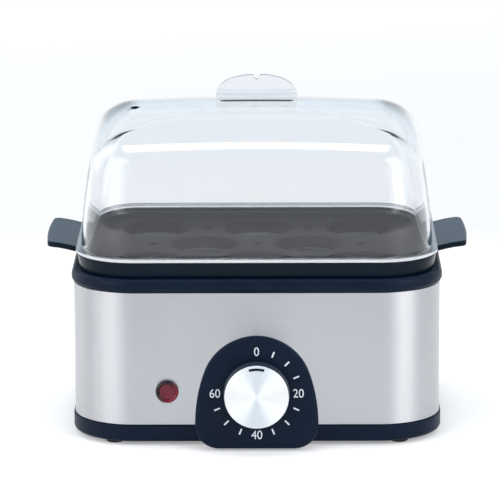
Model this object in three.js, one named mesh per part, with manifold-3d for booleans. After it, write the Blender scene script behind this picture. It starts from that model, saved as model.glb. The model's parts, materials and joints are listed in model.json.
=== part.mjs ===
// An eight-egg electric boiler: a steel band body on a moulded base, an egg tray with two handles,
// a clear lid, a clockwork timer behind a dial, a water dish over its heating element, and a lamp.
// Millimetres. +X is the right of the front, the dial faces -Y, +Z is up, and the feet stand at Z = 0.

import * as THREE from 'three';
import { mergeVertices } from 'three/addons/utils/BufferGeometryUtils.js';
import Module from 'manifold-3d';

const wasm = await Module();
wasm.setup();

// Clearances
const seatGap = 0.3; // between pieces that rest on each other
const slipGap = 0.4; // round what lifts out
const runGap = 0.5; // round what turns
const pivotGap = 0.3; // round the small pivots of the timer
const overrun = 2; // how far a cutting solid passes the face that it cuts

// Counts of facets
const cornerSteps = 6;
const vaultSteps = 4;
const roundSides = 24;
const smallSides = 12;
const wireSides = 6;
const knobSides = 32;
const elementSides = 8;
const elementSteps = 48;
const plateHoleSteps = 6;
const pointerSteps = 4;
const housingSteps = 8;

// Body band
const bandWidth = 197.6;
const bandDepth = 151.4;
const bandCorner = 33.5;
const bandHeight = 72.4;
const bandSheet = 0.8;

// Feet, pushed into the base
const footHeight = 1.8;
const footTopRadius = 5.2;
const footLowRadius = 4.4;
const footStemRadius = 2.2;
const footBarbRadius = 3.2;
const footBarbHeight = 2.2;
const footInsetX = 22.3;
const footInsetY = 9.7;

// Base pan
const baseRimHeight = 9.2;
const baseProud = 0.8;
const baseEdgeRadius = 2.5;
const baseFloor = 2.5;
const baseLipHeight = 5;
const baseLipWall = 1.6;
const bossRadius = 5;
const bossHeight = 3;

// Tie rods from the base to the trim, and their screws
const rodRadius = 2.5;
const rodInset = 6.1;
const rodBoreDepth = 9;
const screwShankRadius = 1.5;
const screwHeadRadius = 3;
const screwHeadHeight = 1.8;
const screwSunk = 0.4;
const screwBite = 6;
const screwSlotWidth = 0.8;
const screwSlotDepth = 0.9;

// Upper trim
const trimHeight = 7.2;
const trimProud = 1.2;
const trimFootProud = 0.2;
const trimChinHeight = 1.7;
const trimFaceHeight = 1.6;
const trimTopInset = 1.5;
const trimLand = 3.5;
const trimStep = 4.4;
const trimLedge = 6;
const trimLedgeThick = 2.5;
const trimLipDepth = 3.5;
const trimLipWall = 2.2;

// Water dish and its seal
const gasketThick = 1.2;
const dishSheet = 0.8;
const dishDepth = 13.4;
const dishEdge = 2.5;
const dishWallGap = 1;
const dishStudRadius = 3;
const dishStudX = 14;

// Heat shield below the dish
const shieldHalfX = 62;
const shieldHalfY = 34;
const shieldCorner = 24;
const shieldDepth = 11;
const shieldSheet = 0.8;
const tagRadius = 4.5;
const tagThick = 0.8;
const tagWidth = 6;
const tagReach = 14;

// Heating element, bent to a U under the dish
const tubeRadius = 3.2;
const elementLegY = 20;
const elementBackX = 48;
const elementFrontX = 28;
const elementBend = 7;
const elementTail = 6;
const terminalRadius = 4.2;
const terminalHeight = 4;
const terminalPinRadius = 1.2;
const terminalPinLength = 7;

// Thermostat and thermal fuse
const thermostatX = 20;
const thermostatRadius = 11;
const thermostatDisc = 5;
const thermostatNeckRadius = 7.5;
const thermostatNeck = 14;
const thermostatBladeThick = 0.8;
const thermostatBladeWidth = 5;
const thermostatBladeLength = 6;
const thermostatBladeSpread = 4;
const fuseRadius = 2;
const fuseLength = 9;
const fuseLeadRadius = 0.6;
const fuseLeadLength = 6;

// Timer frame
const timerFloorGap = 4.7;
const plateSide = 46;
const plateThick = 1.2;
const plateSpace = 22;
const pillarRadius = 2;
const pillarInset = 4;
const timerScrewReach = 14;

// Timer wheels
const gearModule = 0.5;
const gearMeshGap = 0.15;
const driveTeeth = 40;
const secondTeeth = 32;
const pinionTeeth = 10;
const escapeTeeth = 15;
const escapeTipRadius = 6;
const escapeToothDepth = 1.4;
const driveGearThick = 2;
const wheelThick = 1.2;
const wheelGap = 1.3; // behind the drive gear
const escapeWheelGap = 3; // behind the second wheel
const pinionSpare = 0.5; // how far a pinion runs past each side of the wheel that drives it
const arborRadius = 1;
const arborSunk = 0.2; // how far an arbor stops short of the front plate's face
const arborTail = 0.8; // how far an arbor runs past the rear plate
const toothTipShare = 0.9; // of the module, above the pitch line
const toothRootShare = 1.25; // of the module, below the pitch line
const toothFootHalfShare = 0.26; // of the pitch, half the tooth at its foot
const toothTopHalfShare = 0.1; // of the pitch, half the tooth at its top
const escapeTopShares = [0.62, 0.78]; // of the pitch, where a tooth's top starts and ends
const secondAngle = degrees(200);
const escapeAngle = degrees(280);
const palletDistance = 9.4;
const palletClear = 1;
const palletPadRadius = 0.5;
const palletHubRadius = 1.8;
const palletTail = 4;
const palletAngle = degrees(40);

// Mainspring in its cup
const springCupRadius = 9.2;
const springCupDepth = 6;
const springCupWall = 0.8;
const springPitch = 0.95;
const springThick = 0.35;
const springInnerRadius = 3.8;
const springTurns = 4;
const springSidesPerTurn = 16;

// Switch behind the timer
const camRadius = 7.5;
const camThick = 2.5;
const camGap = 1.5; // behind the second wheel
const camNotchDepth = 2;
const camNotchWidth = 4;
const switchBlockWidth = 18;
const switchBlockHeight = 6;
const switchBlockRise = 14;
const switchLugWidth = 4;
const switchLugHeight = 7;
const switchLugThick = 0.8;
const switchLugSpread = 5;
const bladeThick = 0.4;
const bladeBendX = 4;
const bladeTipX = 5;
const bladeTipRise = 1.5;
const bladeContactGap = 1.2;
const contactBendX = 6;
const contactTipX = 3.5;

// Dial housing
const housingRadius = 29.6;
const housingRise = 1.5; // of the arch's centre above the dial's
const housingFlare = 3.3; // beyond the radius, at the widest place
const housingFlareShare = 0.17; // of the drop to the corner, where the flare's curve is pulled to
const housingFloorGap = 1.3;
const housingCorner = 12.7;
const housingDepth = 12.5;
const housingDraft = 2.5; // how much narrower the rear is, on every side
const housingBevel = 1.5;
const housingWall = 2;
const housingPegRadius = 1.8;
const housingPegReach = 2;

// Knob and its shaft
const shaftRadius = 3;
const shaftFlat = 2.2;
const shaftTail = 3;
const knobSkirtRadius = 17.6;
const knobFaceRadius = 17.05;
const knobEdge = 0.5;
const knobHeight = 8.4;
const knobCapDepth = 1.2;
const knobCapSheet = 0.8;
const knobSocketRoof = 3;
const pointerRadius = 15.2;
const pointerThick = 0.8;
const pointerHalfAngle = degrees(14.5);
const pointerProud = 0.2;

// Lamp
const lampShare = 0.464; // of the way from the dial housing to the band's corner
const lampDrop = 2.1; // below the dial's centre
const lampRadius = 6.15;
const lampProud = 2.1;
const lampRing = 1.9;
const lampDish = 1.1;
const lampHoleRadius = 5;
const lampWall = 1;
const lampDepth = 9;
const lampFaceThick = 1;
const lampEdge = 0.4;
const bulbRadius = 3.3;
const bulbLength = 13;
const nutRadius = 7.6;
const nutThick = 2.5;

// Cord bushing, at the back
const bushingCornerGap = 1.3; // from the flange to the band's corner
const bushingRise = 13; // above the band's lower edge
const bushingBore = 3.6;
const bushingNeckRadius = 5.6;
const bushingFlangeRadius = 8;
const bushingFlangeThick = 3.4;
const bushingInnerRadius = 7.2;
const bushingInnerThick = 1.8;
const bushingSleeve = 6;
const bushingRound = 1;
const bushingSides = 16;

// Terminal block and inner wires
const blockWidth = 24;
const blockDepth = 14;
const blockHeight = 12;
const blockPitch = 7;
const blockInsetY = 29; // from the band's rear face
const wireRadius = 1;
const wireSteps = 20;
const wireTail = 6;
const tailShares = [0, 0.5, 1]; // of a tail, where the wire's path is held straight
const wireBite = 3; // how far a wire runs into the block
const wireSag = 8;

// Egg tray
const trayRise = 8;
const trayLean = 1.5;
const trayTopInset = 1.9;
const trayWall = 2.4;
const trayRound = 0.5;
const trayDeckDrop = 5.4;
const trayDeck = 1.6;
const traySkirtDrop = 1.3;
const traySkirtWall = 1.6;
const seatTopRadius = 19.6;
const seatLowRadius = 16.2;
const seatDepth = 6;
const seatWall = 1.5;
const seatEdgeX = 9.4;
const seatEdgeY = 3.3;
const ventRadius = 2.8;

// Tray handles
const handleReach = 18;
const handleHalfWidth = 32;
const handleThick = 3;
const handleRise = 2.7;
const handleCorner = 3.6;
const handleBow = 1.2; // how far the middle of the outer edge stands beyond its ends
const handleEdge = 0.8;
const handleSteps = 4;

// Clear lid
const lidFlangeInset = 1.3;
const lidFlangeWidth = 3;
const lidFlangeThick = 2;
const lidSpigotDrop = 2.9;
const lidWall = 2;
const lidVentRadius = 2.4;
const lidVentX = 66;
const lidVentY = 10;
const lidRise = 72.4;
const lidLean = 4.8;
const lidLeanPower = 1.7;
const crownRadiusY = 148;
const crownRadiusX = 1300;
const shoulderSideWide = 22.5;
const shoulderSideTall = 18.2;
const shoulderFrontWide = 10;
const shoulderFrontTall = 6;
const wallShares = [0.34, 0.67];
const shoulderShares = [0, 0.25, 0.5, 0.75, 1];
const crownShares = [0.75, 0.5, 0.25];

// Grip of the lid
const gripHalfWidth = 22.2;
const gripThick = 2.4;
const gripTongueHalf = 20;
const gripTongueDrop = 4.4;
const gripHookReach = 2;
const gripHookHeight = 1.8;
const gripHeight = 14.5;
const gripNotchDepth = 2.7;
const gripNotchHalf = 1;
const gripCollar = 1.9; // height of the straight foot of the tab
const gripSquareness = 2.3;
const gripArc = degrees(80);
const gripSteps = 8;
const gripBendRise = 4.5;
const gripBendThick = 4;

// Angles
const quarterTurn = Math.PI / 2;
const fullTurn = Math.PI * 2;

function degrees(value) {
  return (value * Math.PI) / 180;
}

// Heights, from the feet up
const shoulderHeight = footHeight + baseRimHeight;
const floorTop = footHeight + baseFloor;
const bandLow = shoulderHeight + seatGap;
const bandHigh = bandLow + bandHeight;
const trimLow = bandHigh + seatGap;
const trimHigh = trimLow + trimHeight;
const trayLow = trimHigh + seatGap;
const trayHigh = trayLow + trayRise;
const flangeLow = trayHigh + seatGap;
const flangeHigh = flangeLow + lidFlangeThick;
const crownTop = flangeHigh + lidRise;
const ledgeTop = trimHigh - trimStep;
const ledgeLow = ledgeTop - trimLedgeThick;
const gasketLow = ledgeTop + seatGap;
const dishRimLow = gasketLow + gasketThick + seatGap;
const dishUnder = dishRimLow - dishDepth;
const shieldHigh = dishUnder - seatGap;
const shieldFloorTop = dishUnder - shieldDepth;
const shieldUnder = shieldFloorTop - shieldSheet;
const dialHeight = floorTop + timerFloorGap + plateSide / 2;
const lampHeight = dialHeight - lampDrop;
const archHeight = dialHeight + housingRise;
const housingFlareDrop = archHeight - housingFloorGap - housingCorner;
const bushingHeight = bandLow + bushingRise;

// Offsets from the band's outside face, negative inwards
const liningFace = -(bandSheet + seatGap);
const trimInner = -(trimTopInset + trimLand);
const ledgeInner = trimInner - trimLedge;
const dishOuter = trimInner - slipGap;
const dishWall = ledgeInner - dishWallGap;
const trayFoot = -(trayTopInset + trayLean);
const trayInner = -(trayTopInset + trayWall);
const skirtInner = dishOuter - traySkirtWall;
const domeFoot = -(lidFlangeInset + lidFlangeWidth);
const spigotOuter = trayInner - slipGap;
const spigotInner = domeFoot - lidWall;

// Depths, along Y
const bandFront = -bandDepth / 2;
const housingRear = bandFront - seatGap;
const housingFront = housingRear - housingDepth;
const knobRear = housingFront - runGap;
const knobFront = knobRear - knobHeight;
const knobCapInner = knobFront + knobCapSheet;
const timerFront = bandFront + bandSheet + seatGap;
const timerRear = timerFront + plateThick + plateSpace + plateThick;
const bushingRear = bandDepth / 2 + seatGap + bushingFlangeThick;

// Places along X
const bandFlatHalf = bandWidth / 2 - bandCorner;
const housingHalfWidth = housingRadius + housingFlare;
const pegX = plateSide / 2 + runGap + housingPegRadius;
const lampX = -housingHalfWidth - lampShare * (bandFlatHalf - housingHalfWidth);
const bushingX = bandFlatHalf - bushingCornerGap - bushingFlangeRadius;

// Finishes: colour, roughness, metalness and opacity
const finishes = {
  brushedSteel: { color: 0xb9bec4, roughness: 0.36, metalness: 0.9 },
  plainSteel: { color: 0xa9aeb3, roughness: 0.45, metalness: 0.9 },
  spunMetal: { color: 0xe4e7ea, roughness: 0.25, metalness: 0.85 },
  brass: { color: 0xc2a35a, roughness: 0.4, metalness: 0.9 },
  blackPlastic: { color: 0x1c2632, roughness: 0.35, metalness: 0 },
  glossBlack: { color: 0x161d26, roughness: 0.12, metalness: 0 },
  rubber: { color: 0x17191c, roughness: 0.8, metalness: 0 },
  seal: { color: 0x8f9398, roughness: 0.7, metalness: 0 },
  clear: { color: 0xecf1fa, roughness: 0.05, metalness: 0, opacity: 0.3 },
  redLens: { color: 0x73202f, roughness: 0.15, metalness: 0, opacity: 0.85 },
  bulbGlass: { color: 0xe8b090, roughness: 0.1, metalness: 0, opacity: 0.6 },
  paleMoulding: { color: 0xe8e4da, roughness: 0.6, metalness: 0 },
  brownWire: { color: 0x6b4327, roughness: 0.5, metalness: 0 },
  blueWire: { color: 0x2d5fa8, roughness: 0.5, metalness: 0 },
  greenWire: { color: 0x4f9a3a, roughness: 0.5, metalness: 0 },
};

// Meshes

// A geometry with its shared corners merged, no flat faces of no size, and its faces pointing out
function closedGeometry(source) {
  const bare = new THREE.BufferGeometry();
  bare.setAttribute('position', source.getAttribute('position').clone());
  if (source.index) bare.setIndex(source.index.clone());
  const merged = mergeVertices(bare);
  const corners = merged.index.array;
  const kept = [];
  for (let at = 0; at < corners.length; at += 3) {
    const [a, b, c] = corners.slice(at, at + 3);
    if (a !== b && b !== c && a !== c) kept.push(a, b, c);
  }
  merged.setIndex(kept);
  if (signedVolume(merged) < 0) merged.setIndex(kept.reverse());
  return merged;
}

function signedVolume(geometry) {
  const places = geometry.getAttribute('position');
  const corners = geometry.index.array;
  const [a, b, c] = [new THREE.Vector3(), new THREE.Vector3(), new THREE.Vector3()];
  let volume = 0;
  for (let at = 0; at < corners.length; at += 3) {
    a.fromBufferAttribute(places, corners[at]);
    b.fromBufferAttribute(places, corners[at + 1]);
    c.fromBufferAttribute(places, corners[at + 2]);
    volume += a.dot(b.cross(c)) / 6;
  }
  return volume;
}

function solidOf(geometry) {
  const closed = closedGeometry(geometry);
  return new wasm.Manifold(new wasm.Mesh({
    numProp: 3,
    vertProperties: new Float32Array(closed.getAttribute('position').array),
    triVerts: new Uint32Array(closed.index.array),
  }));
}

function geometryOf(solid) {
  const mesh = solid.getMesh();
  const geometry = new THREE.BufferGeometry();
  geometry.setAttribute('position', new THREE.Float32BufferAttribute(mesh.vertProperties, 3));
  geometry.setIndex(Array.from(mesh.triVerts));
  return geometry;
}

function cut(geometry, tools) {
  return geometryOf(tools.reduce((left, tool) => left.subtract(solidOf(tool)), solidOf(geometry)));
}

function join(geometries) {
  const [first, ...rest] = geometries.map(solidOf);
  return geometryOf(rest.reduce((whole, piece) => whole.add(piece), first));
}

function common(one, other) {
  return geometryOf(solidOf(one).intersect(solidOf(other)));
}

// A ring of points round a rectangle with round corners. Inset may change with the angle
// of the face, and height with the place. Its straight sides may be split as well.
function roundedRing({ halfX, halfY, corner, steps, straightSteps = 1, insetAt, heightAt }) {
  const quarters = [[1, 1], [-1, 1], [-1, -1], [1, -1]];
  const points = [];
  const addPoint = (sideX, sideY, angle) => {
    const radius = corner - insetAt(angle);
    const x = sideX * (halfX - corner) + radius * Math.cos(angle);
    const y = sideY * (halfY - corner) + radius * Math.sin(angle);
    points.push(new THREE.Vector3(x, y, heightAt(x, y, angle)));
  };
  quarters.forEach((quarter, at) => {
    for (let step = 0; step <= steps; step += 1) addPoint(...quarter, (at + step / steps) * quarterTurn);
    const next = quarters[(at + 1) % quarters.length];
    for (let step = 1; step < straightSteps; step += 1) {
      const [sideX, sideY] = quarter.map((value, axis) => (
        value + ((next[axis] - value) * step) / straightSteps
      ));
      addPoint(sideX, sideY, (at + 1) * quarterTurn);
    }
  });
  return points;
}

// The body's outline, moved out by offset, at one height
function bodyRing([offset, height]) {
  return roundedRing({
    halfX: bandWidth / 2,
    halfY: bandDepth / 2,
    corner: bandCorner,
    steps: cornerSteps,
    insetAt: () => -offset,
    heightAt: () => height,
  });
}

function skinBetween(rings, closesOnItself) {
  const count = rings[0].length;
  const points = rings.flat();
  const faces = [];
  const bands = closesOnItself ? rings.length : rings.length - 1;
  for (let ring = 0; ring < bands; ring += 1) {
    const next = (ring + 1) % rings.length;
    for (let at = 0; at < count; at += 1) {
      const beside = (at + 1) % count;
      const [a, b] = [ring * count + at, ring * count + beside];
      const [c, d] = [next * count + beside, next * count + at];
      faces.push(a, b, c, a, c, d);
    }
  }
  return { points, faces, count };
}

function geometryFrom(points, faces) {
  const geometry = new THREE.BufferGeometry();
  const places = points.flatMap((point) => [point.x, point.y, point.z]);
  geometry.setAttribute('position', new THREE.Float32BufferAttribute(places, 3));
  geometry.setIndex(faces);
  return geometry;
}

// A frame whose section is a closed row of rings
function frameThrough(rings) {
  const { points, faces } = skinBetween(rings, true);
  return geometryFrom(points, faces);
}

// A solid whose first and last rings are closed over, each by a fan round a middle point
function vesselThrough(rings, firstMiddle, lastMiddle) {
  const { points, faces, count } = skinBetween(rings, false);
  const lastStart = (rings.length - 1) * count;
  const firstPoint = points.push(firstMiddle) - 1;
  const lastPoint = points.push(lastMiddle) - 1;
  for (let at = 0; at < count; at += 1) {
    const beside = (at + 1) % count;
    faces.push(firstPoint, beside, at);
    faces.push(lastPoint, lastStart + at, lastStart + beside);
  }
  return geometryFrom(points, faces);
}

function vesselOf(profile) {
  const middleAt = ([, height]) => new THREE.Vector3(0, 0, height);
  return vesselThrough(profile.map(bodyRing), middleAt(profile[0]), middleAt(profile.at(-1)));
}

// A lathe piece about the upright axis, from rows of radius and height
function uprightLathe(rows, sides) {
  return new THREE.LatheGeometry(vectorsOf(rows), sides).rotateX(quarterTurn);
}

// A lathe piece about the axis from front to back, from rows of radius and depth
function levelLathe(rows, sides) {
  return new THREE.LatheGeometry(vectorsOf(rows), sides);
}

function vectorsOf(rows) {
  return rows.map(([across, along]) => new THREE.Vector2(across, along));
}

function closedRow(rows) {
  return [...rows, rows[0]];
}

// An outline in X and Z, made thick from its front face backwards
function upstandingPlate(shape, front, thickness, curveSegments = smallSides) {
  const geometry = new THREE.ExtrudeGeometry(shape, { depth: thickness, bevelEnabled: false, curveSegments });
  return geometry.rotateX(quarterTurn).translate(0, front + thickness, 0);
}

function shapeFrom(rows) {
  return new THREE.Shape(vectorsOf(rows));
}

function addHole(shape, x, z, radius) {
  shape.holes.push(new THREE.Path().absarc(x, z, radius, 0, fullTurn, true));
}

function uprightRod(radius, low, high, x = 0, y = 0, sides = smallSides) {
  const rod = new THREE.CylinderGeometry(radius, radius, high - low, sides);
  return rod.rotateX(quarterTurn).translate(x, y, (low + high) / 2);
}

function levelRod(radius, front, rear, x = 0, z = 0, sides = smallSides) {
  const rod = new THREE.CylinderGeometry(radius, radius, rear - front, sides);
  return rod.translate(x, (front + rear) / 2, z);
}

function boxBetween(low, high) {
  const size = high.map((value, axis) => value - low[axis]);
  const middle = high.map((value, axis) => (value + low[axis]) / 2);
  return new THREE.BoxGeometry(...size).translate(...middle);
}

function tubeAlong(path, radius, sides, steps) {
  const section = new THREE.Shape();
  for (let side = 0; side < sides; side += 1) {
    const angle = (side / sides) * fullTurn;
    const [x, y] = [radius * Math.cos(angle), radius * Math.sin(angle)];
    if (side === 0) section.moveTo(x, y);
    else section.lineTo(x, y);
  }
  return new THREE.ExtrudeGeometry(section, { steps, extrudePath: path, bevelEnabled: false });
}

// Scene groups. The whole is moved along Y so that its own box is centred over the origin.
const frontReach = pointerProud - knobFront;
const backReach = bushingRear;
const eggBoiler = new THREE.Group();
eggBoiler.position.y = (frontReach - backReach) / 2;

function group(parent, x = 0, y = 0, z = 0) {
  const made = new THREE.Group();
  made.position.set(x, y, z);
  parent.add(made);
  return made;
}

function place(parent, name, geometry, finish) {
  const { opacity = 1, ...looks } = finishes[finish];
  const material = new THREE.MeshStandardMaterial({
    ...looks, opacity, transparent: opacity < 1, flatShading: true,
  });
  const mesh = new THREE.Mesh(closedGeometry(geometry), material);
  mesh.name = name;
  parent.add(mesh);
  return mesh;
}

const body = group(eggBoiler);
const tray = group(eggBoiler);
const lid = group(tray);
const timer = group(body, 0, timerFront, dialHeight);
const knob = group(body, 0, 0, dialHeight);

// The four corners, in the order of their names
const cornerNames = [
  ['front_left', -1, -1],
  ['front_right', 1, -1],
  ['rear_left', -1, 1],
  ['rear_right', 1, 1],
];
const footX = bandWidth / 2 - footInsetX;
const footY = bandDepth / 2 - footInsetY;
const rodSpread = (bandCorner - rodInset) * Math.SQRT1_2;
const rodX = bandWidth / 2 - bandCorner + rodSpread;
const rodY = bandDepth / 2 - bandCorner + rodSpread;
const bossTop = floorTop + bossHeight;
const screwLow = footHeight + screwSunk;

function makeBasePan() {
  const edge = [0, 1, 2, 3].map((step) => {
    const angle = (step / 3) * quarterTurn;
    return [
      baseProud - baseEdgeRadius * (1 - Math.sin(angle)),
      footHeight + baseEdgeRadius * (1 - Math.cos(angle)),
    ];
  });
  const lipInner = liningFace - baseLipWall;
  const pan = vesselOf([
    ...edge,
    [baseProud, shoulderHeight],
    [liningFace, shoulderHeight],
    [liningFace, shoulderHeight + baseLipHeight],
    [lipInner, shoulderHeight + baseLipHeight],
    [lipInner, floorTop],
  ]);
  const added = [];
  const removed = [];
  for (const [, sideX, sideY] of cornerNames) {
    const [x, y] = [sideX * rodX, sideY * rodY];
    const headRoom = screwLow + screwHeadHeight + seatGap;
    added.push(uprightRod(bossRadius, footHeight + baseFloor / 2, bossTop, x, y));
    removed.push(uprightRod(screwShankRadius + seatGap, 0, bossTop + overrun, x, y));
    removed.push(uprightRod(screwHeadRadius + seatGap, 0, headRoom, x, y));
    removed.push(uprightRod(footStemRadius + seatGap, 0, floorTop + overrun, sideX * footX, sideY * footY));
  }
  const draftSlope = housingDraft / (housingDepth - housingBevel);
  const notchHalf = housingHalfWidth - housingDraft + draftSlope * baseProud + seatGap;
  removed.push(boxBetween(
    [-notchHalf, bandFront - baseProud - overrun, 0],
    [notchHalf, bandFront, shoulderHeight],
  ));
  const plateHalf = plateSide / 2 + seatGap;
  removed.push(boxBetween(
    [-plateHalf, timerFront - seatGap, dialHeight - plateHalf],
    [plateHalf, bandFront - lipInner + overrun, shoulderHeight + baseLipHeight + overrun],
  ));
  place(body, 'base_pan', cut(join([pan, ...added]), removed), 'blackPlastic');
}

function makeFeetRodsAndScrews() {
  const footTop = footHeight - seatGap;
  const barbLow = floorTop + seatGap;
  const footRows = [
    [0, 0],
    [footLowRadius, 0],
    [footTopRadius, footTop],
    [footStemRadius, footTop],
    [footStemRadius, barbLow],
    [footBarbRadius, barbLow],
    [0, barbLow + footBarbHeight],
  ];
  const rodLow = bossTop + seatGap;
  const rodBore = screwShankRadius + seatGap;
  const rodRows = [
    [rodBore, rodLow],
    [rodRadius, rodLow],
    [rodRadius, ledgeLow - seatGap],
    [0, ledgeLow - seatGap],
    [0, rodLow + rodBoreDepth],
    [rodBore, rodLow + rodBoreDepth],
    [rodBore, rodLow],
  ];
  for (const [name, sideX, sideY] of cornerNames) {
    const foot = uprightLathe(footRows, smallSides).translate(sideX * footX, sideY * footY, 0);
    place(body, `foot_${name}`, foot, 'rubber');
    const rod = uprightLathe(rodRows, smallSides).translate(sideX * rodX, sideY * rodY, 0);
    place(body, `tie_rod_${name}`, rod, 'plainSteel');
    const screw = upScrew(screwLow, rodLow + screwBite).translate(sideX * rodX, sideY * rodY, 0);
    place(body, `base_screw_${name}`, screw, 'plainSteel');
  }
}

// A slotted screw that points up, with its head from low
function upScrew(low, tip) {
  const headTop = low + screwHeadHeight;
  const screw = uprightLathe([
    [0, low],
    [screwHeadRadius, low],
    [screwHeadRadius, headTop],
    [screwShankRadius, headTop],
    [screwShankRadius, tip],
    [0, tip],
  ], smallSides);
  const slot = boxBetween(
    [-screwHeadRadius - overrun, -screwSlotWidth / 2, low - overrun],
    [screwHeadRadius + overrun, screwSlotWidth / 2, low + screwSlotDepth],
  );
  return cut(screw, [slot]);
}

function makeBand() {
  const band = frameThrough([
    [0, bandLow], [0, bandHigh], [-bandSheet, bandHigh], [-bandSheet, bandLow],
  ].map(bodyRing));
  const outside = bandFront - overrun;
  const inside = bandFront + bandSheet + overrun;
  const holes = [
    levelRod(shaftRadius + runGap, outside, inside, 0, dialHeight),
    levelRod(lampHoleRadius, outside, inside, lampX, lampHeight, roundSides),
    levelRod(bushingNeckRadius + seatGap, -inside, -outside, bushingX, bushingHeight, bushingSides),
  ];
  for (const side of [-1, 1]) {
    const screwX = side * timerScrewReach;
    const screwZ = dialHeight + timerScrewReach;
    holes.push(levelRod(screwShankRadius + seatGap, outside, inside, screwX, screwZ));
    holes.push(levelRod(housingPegRadius + seatGap, outside, inside, side * pegX, dialHeight));
  }
  place(body, 'steel_band', cut(band, holes), 'brushedSteel');
}

function makeTrim() {
  const faceTop = trimLow + trimChinHeight + trimFaceHeight;
  const brow = [1, 2, 3].map((step) => {
    const angle = (step / 3) * quarterTurn;
    return [
      trimProud - (trimProud + trimTopInset) * (1 - Math.cos(angle)),
      faceTop + (trimHigh - faceTop) * Math.sin(angle),
    ];
  });
  const lipInner = liningFace - trimLipWall;
  const trim = frameThrough([
    [trimFootProud, trimLow],
    [trimProud, trimLow + trimChinHeight],
    [trimProud, faceTop],
    ...brow,
    [trimInner, trimHigh],
    [trimInner, ledgeTop],
    [ledgeInner, ledgeTop],
    [ledgeInner, ledgeLow],
    [lipInner, ledgeLow],
    [lipInner, bandHigh - trimLipDepth],
    [liningFace, bandHigh - trimLipDepth],
    [liningFace, trimLow],
  ].map(bodyRing));
  place(body, 'upper_trim', trim, 'blackPlastic');
}

function makeDish() {
  const gasketHigh = gasketLow + gasketThick;
  const gasket = frameThrough([
    [dishOuter, gasketLow],
    [dishOuter, gasketHigh],
    [ledgeInner, gasketHigh],
    [ledgeInner, gasketLow],
  ].map(bodyRing));
  place(body, 'dish_gasket', gasket, 'seal');

  const inside = dishWall - dishSheet;
  const floor = dishUnder + dishSheet;
  const rimHigh = dishRimLow + dishSheet;
  const pan = vesselOf([
    [dishWall - dishEdge, dishUnder],
    [dishWall, dishUnder + dishEdge],
    [dishWall, dishRimLow],
    [dishOuter, dishRimLow],
    [dishOuter, rimHigh],
    [inside, rimHigh],
    [inside, floor + dishEdge],
    [inside - dishEdge, floor],
  ]);
  const studLow = shieldFloorTop + seatGap;
  const stud = uprightRod(dishStudRadius, studLow, dishUnder + dishSheet / 2, dishStudX);
  const bore = uprightRod(screwShankRadius + seatGap, studLow - overrun, studLow + screwBite, dishStudX);
  place(body, 'water_dish', cut(join([pan, stud]), [bore]), 'plainSteel');
}

// Ends of the heating element, below the heat shield
const tubeHeight = dishUnder - seatGap - tubeRadius;
const tubeLow = shieldUnder - elementTail;
const terminalLow = tubeLow - seatGap - terminalHeight;
const pinLow = terminalLow - terminalPinLength;
const neckLow = dishUnder - seatGap - thermostatNeck;
const tagHigh = shieldUnder - seatGap;
const tagLow = tagHigh - tagThick;

const bladeLow = neckLow - thermostatBladeLength;
const bladeMiddle = neckLow - thermostatBladeLength / 2;
const fuseStartX = -thermostatX + thermostatBladeSpread + thermostatBladeThick / 2 + seatGap;
const blockLow = floorTop + seatGap;
const blockMiddle = blockLow + blockHeight / 2;
const blockFront = bandDepth / 2 - blockInsetY - blockDepth;

// The U of the heating element: half a turn about the middle of the dish
class HalfTurn extends THREE.Curve {
  constructor(x, radius, height) {
    super();
    Object.assign(this, { x, radius, height });
  }

  getPoint(share, target = new THREE.Vector3()) {
    const angle = (2 * share - 1) * quarterTurn;
    return target.set(this.x + this.radius * Math.cos(angle), this.radius * Math.sin(angle), this.height);
  }
}

function makeElement() {
  const leg = (side) => ({
    tail: new THREE.Vector3(-elementBackX, side * elementLegY, tubeLow),
    bendLow: new THREE.Vector3(-elementBackX, side * elementLegY, tubeHeight - elementBend),
    bend: new THREE.Vector3(-elementBackX, side * elementLegY, tubeHeight),
    bendHigh: new THREE.Vector3(-elementBackX + elementBend, side * elementLegY, tubeHeight),
    turn: new THREE.Vector3(elementFrontX, side * elementLegY, tubeHeight),
  });
  const [front, rear] = [leg(-1), leg(1)];
  const path = new THREE.CurvePath();
  path.add(new THREE.LineCurve3(front.tail, front.bendLow));
  path.add(new THREE.QuadraticBezierCurve3(front.bendLow, front.bend, front.bendHigh));
  path.add(new THREE.LineCurve3(front.bendHigh, front.turn));
  path.add(new HalfTurn(elementFrontX, elementLegY, tubeHeight));
  path.add(new THREE.LineCurve3(rear.turn, rear.bendHigh));
  path.add(new THREE.QuadraticBezierCurve3(rear.bendHigh, rear.bend, rear.bendLow));
  path.add(new THREE.LineCurve3(rear.bendLow, rear.tail));
  place(body, 'heating_element', tubeAlong(path, tubeRadius, elementSides, elementSteps), 'plainSteel');

  const terminalTop = tubeLow - seatGap;
  const terminalRows = [
    [0, terminalTop],
    [terminalRadius, terminalTop],
    [terminalRadius, terminalLow],
    [terminalPinRadius, terminalLow],
    [terminalPinRadius, pinLow],
    [0, pinLow],
  ];
  for (const [name, side] of [['front', -1], ['rear', 1]]) {
    const terminal = uprightLathe(terminalRows, smallSides).translate(-elementBackX, side * elementLegY, 0);
    place(body, `element_terminal_${name}`, terminal, 'paleMoulding');
  }
}

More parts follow.
